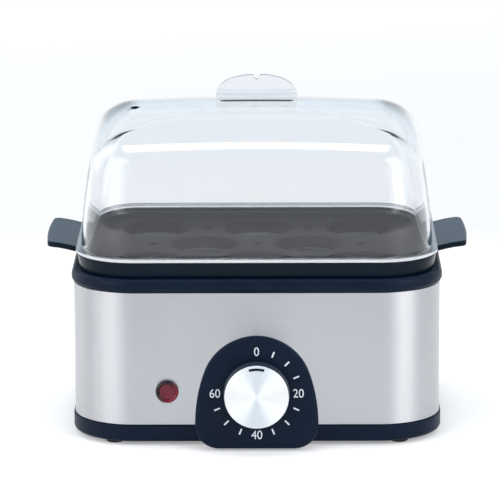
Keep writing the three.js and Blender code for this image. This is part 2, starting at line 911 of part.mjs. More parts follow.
function makeShield() {
  const ring = ([inset, height]) => roundedRing({
    halfX: shieldHalfX,
    halfY: shieldHalfY,
    corner: shieldCorner,
    steps: cornerSteps,
    insetAt: () => inset,
    heightAt: () => height,
  });
  const rings = [
    [0, shieldUnder],
    [0, shieldHigh],
    [shieldSheet, shieldHigh],
    [shieldSheet, shieldFloorTop],
  ].map(ring);
  const middleAt = (height) => new THREE.Vector3(0, 0, height);
  const pan = vesselThrough(rings, middleAt(shieldUnder), middleAt(shieldFloorTop));
  const hole = (radius, x, y, sides) => (
    uprightRod(radius, shieldUnder - overrun, shieldFloorTop + overrun, x, y, sides)
  );
  const shield = cut(pan, [
    hole(tubeRadius + runGap, -elementBackX, -elementLegY),
    hole(tubeRadius + runGap, -elementBackX, elementLegY),
    hole(thermostatNeckRadius + runGap, -thermostatX, 0, roundSides),
    hole(screwShankRadius + seatGap, dishStudX, 0),
  ]);
  place(body, 'heat_shield', shield, 'plainSteel');

  const washer = uprightRod(tagRadius, tagLow, tagHigh, dishStudX);
  const tongue = boxBetween(
    [dishStudX - tagWidth / 2, 0, tagLow],
    [dishStudX + tagWidth / 2, tagReach, tagHigh],
  );
  const bore = uprightRod(screwShankRadius + seatGap, tagLow - overrun, tagHigh + overrun, dishStudX);
  place(body, 'earth_tag', cut(join([washer, tongue]), [bore]), 'brass');
  const headLow = tagLow - seatGap - screwHeadHeight;
  const screw = upScrew(headLow, shieldFloorTop + screwBite).translate(dishStudX, 0, 0);
  place(body, 'shield_screw', screw, 'plainSteel');
}

function makeThermostatAndFuse() {
  const top = dishUnder - seatGap;
  const barrel = uprightLathe([
    [0, top],
    [thermostatRadius, top],
    [thermostatRadius, top - thermostatDisc],
    [thermostatNeckRadius, top - thermostatDisc],
    [thermostatNeckRadius, neckLow],
    [0, neckLow],
  ], roundSides);
  const blades = [-1, 1].map((side) => {
    const x = side * thermostatBladeSpread;
    return boxBetween(
      [x - thermostatBladeThick / 2, -thermostatBladeWidth / 2, bladeLow],
      [x + thermostatBladeThick / 2, thermostatBladeWidth / 2, neckLow + thermostatBladeThick],
    );
  });
  place(body, 'thermostat', join([barrel, ...blades]).translate(-thermostatX, 0, 0), 'paleMoulding');

  const barrelStart = fuseLeadLength;
  const barrelEnd = barrelStart + fuseLength;
  const fuse = levelLathe([
    [0, 0],
    [fuseLeadRadius, 0],
    [fuseLeadRadius, barrelStart],
    [fuseRadius, barrelStart],
    [fuseRadius, barrelEnd],
    [fuseLeadRadius, barrelEnd],
    [fuseLeadRadius, barrelEnd + fuseLeadLength],
    [0, barrelEnd + fuseLeadLength],
  ], smallSides);
  const placed = fuse.rotateZ(-quarterTurn).translate(fuseStartX, 0, bladeMiddle);
  place(body, 'thermal_fuse', placed, 'paleMoulding');
}

// Timer, in its own group: from the front face of its front plate, about the dial's middle

const halfPlate = plateSide / 2;
const pillarPlace = halfPlate - pillarInset;
const pillarPlaces = [[-pillarPlace, pillarPlace], [pillarPlace, pillarPlace], [pillarPlace, -pillarPlace]];
const rearPlateFront = plateThick + plateSpace;
const rearPlateRear = rearPlateFront + plateThick;
const driveGearFront = plateThick + seatGap + springCupDepth + runGap;
const secondWheelFront = driveGearFront + driveGearThick + wheelGap;
const escapeWheelFront = secondWheelFront + wheelThick + escapeWheelGap;
const camFront = secondWheelFront + wheelThick + camGap;
const escapePinionFront = secondWheelFront - pinionSpare;
const secondDistance = ((driveTeeth + pinionTeeth) * gearModule) / 2 + gearMeshGap;
const escapeDistance = ((secondTeeth + pinionTeeth) * gearModule) / 2 + gearMeshGap;
const halfToothPitch = fullTurn / pinionTeeth / 2;
const secondPlace = polar(secondDistance, secondAngle);
const escapePlace = polar(escapeDistance, escapeAngle).map((value, axis) => value + secondPlace[axis]);
const palletPlace = [escapePlace[0] + palletDistance, escapePlace[1]];

function polar(radius, angle) {
  return [radius * Math.cos(angle), radius * Math.sin(angle)];
}

// A toothed outline with the middle of one tooth at the angle given
function toothedOutline(teeth, firstAngle) {
  const pitchRadius = (teeth * gearModule) / 2;
  const tip = pitchRadius + toothTipShare * gearModule;
  const root = pitchRadius - toothRootShare * gearModule;
  const toothTurn = fullTurn / teeth;
  const rows = [];
  for (let tooth = 0; tooth < teeth; tooth += 1) {
    const middle = firstAngle + tooth * toothTurn;
    rows.push(polar(root, middle - toothFootHalfShare * toothTurn));
    rows.push(polar(tip, middle - toothTopHalfShare * toothTurn));
    rows.push(polar(tip, middle + toothTopHalfShare * toothTurn));
    rows.push(polar(root, middle + toothFootHalfShare * toothTurn));
  }
  return shapeFrom(rows);
}

// The escape wheel's outline: pointed teeth that lean one way
function escapeOutline() {
  const root = escapeTipRadius - escapeToothDepth;
  const toothTurn = fullTurn / escapeTeeth;
  const rows = [];
  for (let tooth = 0; tooth < escapeTeeth; tooth += 1) {
    const start = tooth * toothTurn;
    rows.push(polar(root, start));
    rows.push(polar(escapeTipRadius, start + escapeTopShares[0] * toothTurn));
    rows.push(polar(escapeTipRadius, start + escapeTopShares[1] * toothTurn));
  }
  return shapeFrom(rows);
}

function makeTimerFrame() {
  const plate = (front) => {
    const shape = shapeFrom([
      [-halfPlate, -halfPlate], [halfPlate, -halfPlate], [halfPlate, halfPlate], [-halfPlate, halfPlate],
    ]);
    addHole(shape, 0, 0, shaftRadius + runGap);
    for (const pivot of [secondPlace, escapePlace, palletPlace]) {
      addHole(shape, ...pivot, arborRadius + pivotGap);
    }
    if (front === 0) {
      for (const side of [-1, 1]) {
        addHole(shape, side * timerScrewReach, timerScrewReach, screwShankRadius + seatGap);
      }
    }
    return upstandingPlate(shape, front, plateThick, plateHoleSteps);
  };
  place(timer, 'timer_front_plate', plate(0), 'plainSteel');
  place(timer, 'timer_rear_plate', plate(rearPlateFront), 'plainSteel');
  pillarPlaces.forEach(([x, z], at) => {
    const pillar = levelRod(pillarRadius, plateThick + seatGap, rearPlateFront - seatGap, x, z);
    place(timer, `timer_pillar_${at + 1}`, pillar, 'brass');
  });
  const headRear = -(bandSheet + seatGap) - seatGap;
  for (const [name, side] of [['left', -1], ['right', 1]]) {
    const screw = levelLathe([
      [0, headRear - screwHeadHeight],
      [screwHeadRadius, headRear - screwHeadHeight],
      [screwHeadRadius, headRear],
      [screwShankRadius, headRear],
      [screwShankRadius, plateThick + screwShankRadius],
      [0, plateThick + screwShankRadius],
    ], smallSides);
    const placed = screw.translate(side * timerScrewReach, 0, timerScrewReach);
    place(timer, `timer_screw_${name}`, placed, 'plainSteel');
  }
}

function makeMainspring() {
  const front = plateThick + seatGap;
  const floor = front + springCupWall;
  const rear = front + springCupDepth;
  const inner = springCupRadius - springCupWall;
  const cup = levelLathe(closedRow([
    [shaftRadius + runGap, front],
    [springCupRadius, front],
    [springCupRadius, rear],
    [inner, rear],
    [inner, floor],
    [shaftRadius + runGap, floor],
  ]), roundSides);
  place(timer, 'mainspring_cup', cup, 'plainSteel');

  const steps = springTurns * springSidesPerTurn;
  const spiral = (grow) => Array.from({ length: steps + 1 }, (_, step) => {
    const turns = step / springSidesPerTurn;
    return polar(springInnerRadius + grow + springPitch * turns, turns * fullTurn);
  });
  const ribbon = shapeFrom([...spiral(springThick), ...spiral(0).reverse()]);
  const ribbonDepth = rear - floor - 2 * seatGap;
  place(timer, 'mainspring', upstandingPlate(ribbon, floor + seatGap, ribbonDepth), 'plainSteel');
}

// An arbor with its pinion and its wheel, riveted together, about the place given
function wheelOnArbor({ at, pinionFront, pinionLength, pinionAngle, wheel, wheelFront }) {
  const arbor = levelRod(arborRadius, arborSunk, rearPlateRear + arborTail);
  const pinion = upstandingPlate(toothedOutline(pinionTeeth, pinionAngle), pinionFront, pinionLength);
  const disc = upstandingPlate(wheel, wheelFront, wheelThick);
  return join([arbor, pinion, disc]).translate(at[0], 0, at[1]);
}

function makeTimerWheels() {
  const gearShape = toothedOutline(driveTeeth, secondAngle);
  addHole(gearShape, 0, 0, shaftRadius + seatGap);
  place(timer, 'drive_gear', upstandingPlate(gearShape, driveGearFront, driveGearThick), 'brass');

  const second = wheelOnArbor({
    at: secondPlace,
    pinionFront: driveGearFront - pinionSpare,
    pinionLength: driveGearThick + 2 * pinionSpare,
    pinionAngle: secondAngle + Math.PI + halfToothPitch,
    wheel: toothedOutline(secondTeeth, escapeAngle),
    wheelFront: secondWheelFront,
  });
  place(timer, 'second_wheel', second, 'brass');

  const escape = wheelOnArbor({
    at: escapePlace,
    pinionFront: escapePinionFront,
    pinionLength: wheelThick + 2 * pinionSpare,
    pinionAngle: escapeAngle + Math.PI + halfToothPitch,
    wheel: escapeOutline(),
    wheelFront: escapeWheelFront,
  });
  place(timer, 'escape_wheel', escape, 'brass');
}

// The pallet lever: two arms that reach round the escape wheel, and a weighted tail
function makePallet() {
  const rear = escapeWheelFront + wheelThick;
  const reach = escapeTipRadius + palletClear + palletPadRadius;
  const arbor = levelRod(arborRadius, arborSunk, rearPlateRear + arborTail);
  const hub = levelRod(palletHubRadius, escapeWheelFront, rear);
  const tail = levelRod(palletHubRadius, escapeWheelFront, rear, palletTail);
  const pieces = [arbor, hub, tail, bar([0, 0], [palletTail, 0])];
  for (const side of [-1, 1]) {
    const [x, z] = polar(reach, side * palletAngle);
    const pad = [x - palletDistance, z];
    pieces.push(bar([0, 0], pad), levelRod(palletPadRadius, escapeWheelFront, rear, ...pad));
  }
  place(timer, 'pallet_lever', join(pieces).translate(palletPlace[0], 0, palletPlace[1]), 'plainSteel');

  function bar([startX, startZ], [endX, endZ]) {
    const length = Math.hypot(endX - startX, endZ - startZ);
    const stick = boxBetween([0, escapeWheelFront, -palletPadRadius], [length, rear, palletPadRadius]);
    return stick.rotateY(-Math.atan2(endZ - startZ, endX - startX)).translate(startX, 0, startZ);
  }
}

const blockTop = switchBlockRise + switchBlockHeight;
const lugTop = blockTop + switchLugHeight;
const lugFront = (camFront + rearPlateFront) / 2;
const lugRear = lugFront + switchLugThick;

function makeSwitch() {
  const camShape = new THREE.Shape().absarc(0, 0, camRadius, 0, fullTurn, false);
  addHole(camShape, 0, 0, shaftRadius + seatGap);
  const cam = upstandingPlate(camShape, camFront, camThick, smallSides);
  const notch = boxBetween(
    [-camNotchWidth / 2, camFront - overrun, camRadius - camNotchDepth],
    [camNotchWidth / 2, camFront + camThick + overrun, camRadius + overrun],
  );
  place(timer, 'switch_cam', cut(cam, [notch]), 'blackPlastic');

  const halfBlock = switchBlockWidth / 2;
  const block = boxBetween(
    [-halfBlock, camFront, switchBlockRise],
    [halfBlock, rearPlateFront - seatGap, blockTop],
  );
  const lugs = [-1, 1].map((side) => boxBetween(
    [side * switchLugSpread - switchLugWidth / 2, lugFront, blockTop - switchLugThick],
    [side * switchLugSpread + switchLugWidth / 2, lugRear, lugTop],
  ));
  place(timer, 'switch_block', join([block, ...lugs]), 'paleMoulding');

  const seat = switchBlockRise - seatGap - bladeThick;
  const ride = camRadius + runGap;
  const tipRise = ride + bladeTipRise;
  const strip = (rows) => {
    const above = rows.map(([x, z]) => [x, z + bladeThick]).reverse();
    return upstandingPlate(shapeFrom([...rows, ...above]), camFront, camThick);
  };
  const moving = strip([[-halfBlock, seat], [-bladeBendX, seat], [0, ride], [bladeTipX, tipRise]]);
  place(timer, 'switch_blade_moving', moving, 'brass');
  const contact = tipRise + bladeContactGap;
  const fixed = strip([[contactTipX, contact], [contactBendX, seat], [halfBlock, seat]]);
  place(timer, 'switch_blade_fixed', fixed, 'brass');
}

// A ring of the dial housing's outline about the arch's centre, drawn in by inset, at one depth
function housingRing(inset, depth) {
  const radius = housingRadius - inset;
  const half = housingHalfWidth - inset;
  const corner = housingCorner - inset;
  const low = housingFloorGap + inset - archHeight;
  const pull = -housingFlareShare * housingFlareDrop;
  const leave = Math.atan2(pull, half) + Math.acos(radius / Math.hypot(pull, half));
  const shape = new THREE.Shape();
  shape.absarc(0, 0, radius, leave, Math.PI - leave, false);
  shape.quadraticCurveTo(-half, pull, -half, low + corner);
  shape.absarc(corner - half, low + corner, corner, Math.PI, 3 * quarterTurn, false);
  shape.lineTo(half - corner, low);
  shape.absarc(half - corner, low + corner, corner, 3 * quarterTurn, fullTurn, false);
  shape.quadraticCurveTo(half, pull, radius * Math.cos(leave), radius * Math.sin(leave));
  return shape.getPoints(housingSteps).map((point) => new THREE.Vector3(point.x, depth, point.y));
}

function makeHousing() {
  const bevel = [0, 1, 2, 3].map((step) => {
    const angle = (step / 3) * quarterTurn;
    const inset = housingBevel * (1 - Math.cos(angle));
    return housingRing(inset, housingFront + housingBevel * (1 - Math.sin(angle)));
  });
  const roof = housingFront + housingWall;
  const lining = housingDraft + housingWall;
  const rings = [
    housingRing(lining, roof),
    housingRing(lining, housingRear),
    housingRing(housingDraft, housingRear),
    ...bevel,
  ];
  const shell = vesselThrough(rings, new THREE.Vector3(0, roof, 0), new THREE.Vector3(0, housingFront, 0));
  const pegRear = bandFront + bandSheet + housingPegReach;
  const pegs = [-1, 1].map((side) => levelRod(
    housingPegRadius, housingFront + housingWall / 2, pegRear, side * pegX, -housingRise,
  ));
  const hole = levelRod(
    shaftRadius + runGap, housingFront - overrun, roof + overrun, 0, -housingRise, roundSides,
  );
  const housing = cut(join([shell, ...pegs]), [hole]).translate(0, 0, archHeight);
  place(body, 'dial_housing', housing, 'blackPlastic');
}

// The pointer on the knob's face, grown on every side by the gap given
function pointerSolid(grow, front, rear) {
  const spread = pointerHalfAngle + grow / pointerRadius;
  const half = pointerThick / 2 + grow;
  const shape = new THREE.Shape();
  shape.absarc(0, 0, pointerRadius + half, quarterTurn - spread, quarterTurn + spread, false);
  shape.absarc(0, 0, pointerRadius - half, quarterTurn + spread, quarterTurn - spread, true);
  return upstandingPlate(shape, front, rear - front, pointerSteps);
}

// A rod like the shaft, grown by the gap given, with its flat from the front to flatRear
function flattedRod(grow, front, flatRear, rear) {
  const rod = levelRod(shaftRadius + grow, front, rear);
  const above = boxBetween(
    [-shaftRadius - overrun, front - overrun, shaftFlat + grow],
    [shaftRadius + overrun, flatRear, shaftRadius + overrun],
  );
  return cut(rod, [above]);
}

function makeKnob() {
  const capRear = knobFront + knobCapDepth;
  const capInner = knobFaceRadius - knobCapSheet;
  const shoulder = capRear + seatGap;
  const coreFront = knobCapInner + seatGap;
  const socketFront = coreFront + knobSocketRoof;
  const cap = levelLathe([
    [0, knobFront],
    [knobFaceRadius - knobEdge, knobFront],
    [knobFaceRadius, knobFront + knobEdge],
    [knobFaceRadius, capRear],
    [capInner, capRear],
    [capInner, knobCapInner],
    [0, knobCapInner],
  ], knobSides);
  const slot = pointerSolid(seatGap, knobFront - overrun, knobCapInner + overrun);
  place(knob, 'knob_cap', cut(cap, [slot]), 'spunMetal');

  const core = levelLathe([
    [0, coreFront],
    [capInner - seatGap, coreFront],
    [capInner - seatGap, shoulder],
    [knobFaceRadius, shoulder],
    [knobSkirtRadius, knobRear],
    [0, knobRear],
  ], knobSides);
  const nib = pointerSolid(0, knobFront - pointerProud, coreFront + overrun);
  const socket = flattedRod(seatGap, socketFront, knobRear + overrun, knobRear + overrun);
  place(knob, 'knob_core', cut(join([core, nib]), [socket]), 'blackPlastic');

  const shaft = flattedRod(0, socketFront + seatGap, knobRear + seatGap, timerRear + shaftTail);
  place(knob, 'timer_shaft', shaft, 'plainSteel');
}

function makeLamp() {
  const lamp = group(body, lampX, bandFront, lampHeight);
  const ringFront = -lampProud;
  const dishFront = ringFront + lampDish;
  const dishRear = dishFront + lampFaceThick;
  const ringInner = lampRadius - lampRing;
  const barrel = lampHoleRadius - seatGap;
  const lens = levelLathe([
    [0, dishFront],
    [ringInner - lampEdge, dishFront],
    [ringInner, ringFront + lampEdge],
    [ringInner + lampEdge, ringFront],
    [lampRadius - lampEdge, ringFront],
    [lampRadius, ringFront + lampEdge],
    [lampRadius, -seatGap],
    [barrel, -seatGap],
    [barrel, lampDepth],
    [barrel - lampWall, lampDepth],
    [barrel - lampWall, dishRear],
    [0, dishRear],
  ], roundSides);
  place(lamp, 'lamp_lens', lens, 'redLens');

  const bulbFront = dishRear + seatGap;
  const bulb = levelLathe([
    [0, bulbFront],
    [bulbRadius / 2, bulbFront],
    [bulbRadius, bulbFront + bulbRadius / 2],
    [bulbRadius, bulbFront + bulbLength],
    [0, bulbFront + bulbLength],
  ], smallSides);
  place(lamp, 'lamp_bulb', bulb, 'bulbGlass');

  const nutFront = bandSheet + seatGap;
  const nut = levelLathe(closedRow([
    [lampHoleRadius, nutFront],
    [nutRadius, nutFront],
    [nutRadius, nutFront + nutThick],
    [lampHoleRadius, nutFront + nutThick],
  ]), roundSides);
  place(lamp, 'lamp_nut', nut, 'blackPlastic');
}

function makeBushingAndBlock() {
  const outer = seatGap + bushingFlangeThick;
  const innerFront = -(bandSheet + seatGap);
  const innerRear = innerFront - bushingInnerThick;
  const bushing = levelLathe(closedRow([
    [bushingBore, outer],
    [bushingFlangeRadius - bushingRound, outer],
    [bushingFlangeRadius, outer - bushingRound],
    [bushingFlangeRadius, seatGap],
    [bushingNeckRadius, seatGap],
    [bushingNeckRadius, innerFront],
    [bushingInnerRadius, innerFront],
    [bushingInnerRadius, innerRear],
    [bushingNeckRadius, innerRear],
    [bushingNeckRadius, innerRear - bushingSleeve],
    [bushingBore, innerRear - bushingSleeve],
  ]), bushingSides);
  place(body, 'cord_bushing', bushing.translate(bushingX, bandDepth / 2, bushingHeight), 'rubber');

  const block = boxBetween(
    [bushingX - blockWidth / 2, blockFront, blockLow],
    [bushingX + blockWidth / 2, blockFront + blockDepth, blockLow + blockHeight],
  );
  const bores = [-1, 0, 1].map((step) => levelRod(
    wireRadius + runGap, blockFront - overrun, blockFront + blockDepth + overrun,
    bushingX + step * blockPitch, blockMiddle,
  ));
  place(body, 'terminal_block', cut(block, bores), 'paleMoulding');
}

// Inner wires. Each leaves its two ends straight, and passes one middle point.

function innerWire(name, finish, start, startWay, middle, end, endWay) {
  const out = (from, way, share) => from.map((value, axis) => value + share * wireTail * way[axis]);
  const tail = (from, way) => tailShares.map((share) => out(from, way, share));
  const points = [...tail(start, startWay), middle, ...tail(end, endWay).reverse()];
  const path = new THREE.CatmullRomCurve3(points.map((point) => new THREE.Vector3(...point)));
  place(body, name, tubeAlong(path, wireRadius, wireSides, wireSteps), finish);
}

function between(one, other, drop) {
  return one.map((value, axis) => (value + other[axis]) / 2 - (axis === 2 ? drop : 0));
}

function makeWires() {
  const forwards = [0, -1, 0];
  const backwards = [0, 1, 0];
  const rightwards = [1, 0, 0];
  const leftwards = [-1, 0, 0];
  const blockPort = (step) => [bushingX + step * blockPitch, blockFront + wireBite, blockMiddle];
  const pinHeight = pinLow + terminalPinLength / 2;
  const pinSide = -elementBackX + terminalPinRadius + seatGap;
  const lugHeight = dialHeight + lugTop - wireRadius - seatGap;
  const lugFace = timerFront + lugRear + seatGap;
  const leftBlade = -thermostatX - thermostatBladeSpread - thermostatBladeThick / 2 - seatGap;
  const fuseEnd = fuseStartX + 2 * fuseLeadLength + fuseLength + seatGap;
  const bulbRear = bandFront - lampProud + lampDish + lampFaceThick + seatGap + bulbLength + seatGap;

  const live = { from: blockPort(0), to: [switchLugSpread, lugFace, lugHeight] };
  const liveMiddle = between(live.from, live.to, wireSag);
  innerWire('wire_live', 'brownWire', live.from, forwards, liveMiddle, live.to, backwards);

  const switched = { from: [-switchLugSpread, lugFace, lugHeight], to: [leftBlade, 0, bladeMiddle] };
  const switchedMiddle = between(switched.from, switched.to, wireSag);
  innerWire('wire_switched', 'brownWire', switched.from, backwards, switchedMiddle, switched.to, leftwards);

  const fused = { from: [fuseEnd, 0, bladeMiddle], to: [pinSide, elementLegY, pinHeight] };
  const fusedMiddle = between(fused.from, fused.to, 2 * wireSag);
  innerWire('wire_fused', 'brownWire', fused.from, rightwards, fusedMiddle, fused.to, rightwards);

  const neutral = { from: blockPort(-1), to: [pinSide, -elementLegY, pinHeight] };
  const neutralMiddle = between(neutral.from, neutral.to, 2 * wireSag);
  innerWire('wire_neutral', 'blueWire', neutral.from, forwards, neutralMiddle, neutral.to, rightwards);

  const tagUnder = tagLow - seatGap - wireRadius;
  const earth = { from: blockPort(1), to: [dishStudX, tagReach - wireBite, tagUnder] };
  const earthMiddle = between(earth.from, earth.to, wireSag);
  innerWire('wire_earth', 'greenWire', earth.from, forwards, earthMiddle, earth.to, backwards);

  const lampEnd = [-elementBackX, -elementLegY - terminalPinRadius - seatGap, pinHeight];
  const lamp = { from: [lampX, bulbRear, lampHeight], to: lampEnd };
  const lampMiddle = between(lamp.from, lamp.to, 0);
  innerWire('wire_lamp', 'blueWire', lamp.from, backwards, lampMiddle, lamp.to, forwards);
}

// Egg tray: a rim wall, a deck with conical seats, a skirt inside the trim, and two handles

function makeTray() {
  const deckTop = trayHigh - trayDeckDrop;
  const deckLow = deckTop - trayDeck;
  const skirtLow = trayLow - traySkirtDrop;
  const rim = vesselOf([
    [skirtInner, deckLow],
    [skirtInner, skirtLow],
    [dishOuter, skirtLow],
    [dishOuter, trayLow],
    [trayFoot, trayLow],
    [-trayTopInset, trayHigh - trayRound],
    [-trayTopInset - trayRound, trayHigh],
    [trayInner, trayHigh],
    [trayInner, deckTop],
  ]);
  const pitchX = bandWidth / 2 + dishWall - dishSheet - seatEdgeX - seatTopRadius;
  const pitchY = bandDepth / 2 + dishWall - dishSheet - seatEdgeY - seatTopRadius;
  const seats = [];
  const vents = [[-pitchX, 0], [0, 0], [pitchX, 0]];
  for (const row of [-1, 1]) {
    for (const column of [-1, 0, 1]) seats.push([column * pitchX, row * pitchY]);
    seats.push([(row * pitchX) / 2, 0]);
    vents.push([-pitchX / 2, row * pitchY], [pitchX / 2, row * pitchY]);
  }
  const seatLow = deckTop - seatDepth;
  const added = seats.map(([x, y]) => cone(seatWall, seatLow, deckTop - trayDeck / 2, x, y));
  const removed = seats.map(([x, y]) => cone(0, seatLow - overrun, deckTop + overrun, x, y));
  for (const [x, y] of vents) {
    removed.push(uprightRod(ventRadius, deckLow - overrun, deckTop + overrun, x, y));
  }
  const whole = cut(join([rim, ...added]), removed);
  place(tray, 'egg_tray', join([whole, handle(-1), handle(1)]), 'glossBlack');

  // The seat's cone, its wall grown outwards, between two heights
  function cone(grow, low, high, x, y) {
    const slope = (seatTopRadius - seatLowRadius) / seatDepth;
    const radiusAt = (height) => seatTopRadius + grow - slope * (deckTop - height);
    const solid = new THREE.CylinderGeometry(radiusAt(high), radiusAt(low), high - low, roundSides);
    return solid.rotateX(quarterTurn).translate(x, y, (low + high) / 2);
  }
}

// A flat handle on the tray's side. It leaves the wall under the lid's flange, rises and levels out.
function handle(side) {
  const wallX = bandWidth / 2 - trayTopInset;
  const rootX = bandWidth / 2 - lidFlangeInset + slipGap;
  const endX = wallX + handleReach;
  const sideX = endX - handleBow;
  const endTop = trayHigh + handleRise;
  const top = [[wallX - trayWall / 2, trayHigh]];
  for (let step = 0; step <= handleSteps; step += 1) {
    const share = step / handleSteps;
    const x = rootX + share * (endX - handleEdge - rootX);
    top.push([x, trayHigh + handleRise * Math.sin(share * quarterTurn)]);
  }
  const end = [
    [endX, endTop - handleEdge],
    [endX, endTop - handleThick + handleEdge],
  ];
  const under = top.map(([x, z]) => [x, z - handleThick]).reverse();
  const section = shapeFrom([...top, ...end, ...under].map(([x, z]) => [side * x, z]));
  const slab = upstandingPlate(section, -handleHalfWidth, 2 * handleHalfWidth);
  const plan = new THREE.Shape();
  const inner = wallX - trayWall;
  plan.moveTo(inner, -handleHalfWidth);
  plan.lineTo(sideX - handleCorner, -handleHalfWidth);
  plan.absarc(sideX - handleCorner, handleCorner - handleHalfWidth, handleCorner, -quarterTurn, 0, false);
  plan.quadraticCurveTo(sideX + 2 * handleBow, 0, sideX, handleHalfWidth - handleCorner);
  plan.absarc(sideX - handleCorner, handleHalfWidth - handleCorner, handleCorner, 0, quarterTurn, false);
  plan.lineTo(inner, handleHalfWidth);
  const tall = 2 * handleThick + handleRise;
  const settings = { depth: 2 * tall, bevelEnabled: false, curveSegments: cornerSteps };
  const prism = new THREE.ExtrudeGeometry(plan, settings);
  if (side < 0) prism.rotateZ(Math.PI);
  return common(slab, prism.translate(0, 0, trayHigh - tall));
}

// Clear lid. Its top is a vault that falls away to the front and the back, with round shoulders.

function crownHeight(x, y, inward) {
  return crownTop - inward - (x * x) / (2 * crownRadiusX) - (y * y) / (2 * crownRadiusY);
}

function mixByFace(side, front, angle) {
  return side + (front - side) * Math.sin(angle) ** 2;
}

// A ring of the lid, in by the wall for the inner skin, with its rise below the vault by angle
function domeRing(inward, insetAt, heightAt) {
  return roundedRing({
    halfX: bandWidth / 2 + domeFoot,
    halfY: bandDepth / 2 + domeFoot,
    corner: bandCorner + domeFoot,
    steps: cornerSteps,
    straightSteps: vaultSteps,
    insetAt: (angle) => inward + insetAt(angle),
    heightAt,
  });
}

// Rings of one skin of the lid, from the foot of its wall to the crown
function domeSkin(inward, foot) {
  const tall = (angle) => mixByFace(shoulderSideTall, shoulderFrontTall, angle);
  const wide = (angle) => mixByFace(shoulderSideWide, shoulderFrontWide, angle);
  const wall = wallShares.map((share) => domeRing(
    inward,
    () => lidLean * share ** lidLeanPower,
    (x, y, angle) => foot + (crownHeight(x, y, inward) - tall(angle) - foot) * share,
  ));
  const shoulder = shoulderShares.map((share) => domeRing(
    inward,
    (angle) => lidLean + wide(angle) * (1 - Math.cos(share * quarterTurn)),
    (x, y, angle) => crownHeight(x, y, inward) - tall(angle) * (1 - Math.sin(share * quarterTurn)),
  ));
  const crown = crownShares.map((share) => shoulder.at(-1).map(({ x, y }) => (
    new THREE.Vector3(x * share, y * share, crownHeight(x * share, y * share, inward))
  )));
  return [...wall, ...shoulder, ...crown];
}

function makeLid() {
  const flat = ([offset, height]) => domeRing(0, () => domeFoot - offset, () => height);
  const spigotLow = flangeLow - lidSpigotDrop;
  const flangeOuter = -lidFlangeInset;
  const rings = [
    ...domeSkin(lidWall, flangeHigh).reverse(),
    ...[
      [spigotInner, flangeHigh],
      [spigotInner, spigotLow],
      [spigotOuter, spigotLow],
      [spigotOuter, flangeLow],
      [flangeOuter, flangeLow],
      [flangeOuter, flangeHigh],
      [domeFoot, flangeHigh],
    ].map(flat),
    ...domeSkin(0, flangeHigh),
  ];
  const middle = (inward) => new THREE.Vector3(0, 0, crownHeight(0, 0, inward));
  const dome = vesselThrough(rings, middle(lidWall), middle(0));
  const slotHalf = gripTongueHalf + seatGap;
  const slot = boxBetween(
    [-slotHalf, -gripBendThick / 2 - seatGap, crownTop - lidWall - overrun],
    [slotHalf, gripBendThick / 2 + seatGap, crownTop + overrun],
  );
  const ventLow = crownTop - shoulderSideTall;
  const vent = uprightRod(lidVentRadius, ventLow, crownTop + overrun, -lidVentX, -lidVentY);
  place(lid, 'lid_dome', cut(dome, [slot, vent]), 'clear');
}

// The grip's outline above the crown, as one half: from the crown up to the notch
function gripSide(side) {
  const rows = [];
  for (let step = 0; step <= gripSteps; step += 1) {
    const angle = (step / gripSteps) * gripArc;
    const x = gripHalfWidth * Math.cos(angle) ** (2 / gripSquareness);
    const z = gripCollar + (gripHeight - gripCollar) * Math.sin(angle) ** (2 / gripSquareness);
    rows.push([side * x, crownTop + z]);
  }
  rows.push([side * gripNotchHalf, crownTop + gripHeight - gripNotchDepth]);
  return rows;
}

function makeGrip() {
  const hookHalf = gripTongueHalf + gripHookReach;
  const tongueLow = crownTop - gripTongueDrop;
  const shelf = crownTop + seatGap;
  const foot = (side) => [
    [side * hookHalf, tongueLow],
    [side * hookHalf, tongueLow + gripHookHeight],
    [side * gripTongueHalf, tongueLow + gripHookHeight],
    [side * gripTongueHalf, shelf],
    [side * gripHalfWidth, shelf],
  ];
  const outline = [...foot(1), ...gripSide(1), ...gripSide(-1).reverse(), ...foot(-1).reverse()];
  const tab = upstandingPlate(shapeFrom(outline), -gripThick / 2, gripThick);
  const thick = upstandingPlate(shapeFrom(outline), -gripBendThick / 2, gripBendThick);
  const below = boxBetween(
    [-gripHalfWidth - overrun, -gripBendThick, tongueLow - overrun],
    [gripHalfWidth + overrun, gripBendThick, crownTop + gripBendRise],
  );
  place(lid, 'lid_grip', join([tab, common(thick, below)]), 'clear');
}

makeBasePan();
makeFeetRodsAndScrews();
makeBand();
makeTrim();
makeDish();
makeElement();
makeShield();
makeThermostatAndFuse();
makeTimerFrame();
makeMainspring();
makeTimerWheels();
makePallet();
makeSwitch();
makeHousing();
makeKnob();
makeLamp();
makeBushingAndBlock();
makeWires();
makeTray();
makeLid();
makeGrip();

export default eggBoiler;
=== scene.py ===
import json
import math

import bmesh
import bpy
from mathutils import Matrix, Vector
from mathutils.geometry import delaunay_2d_cdt


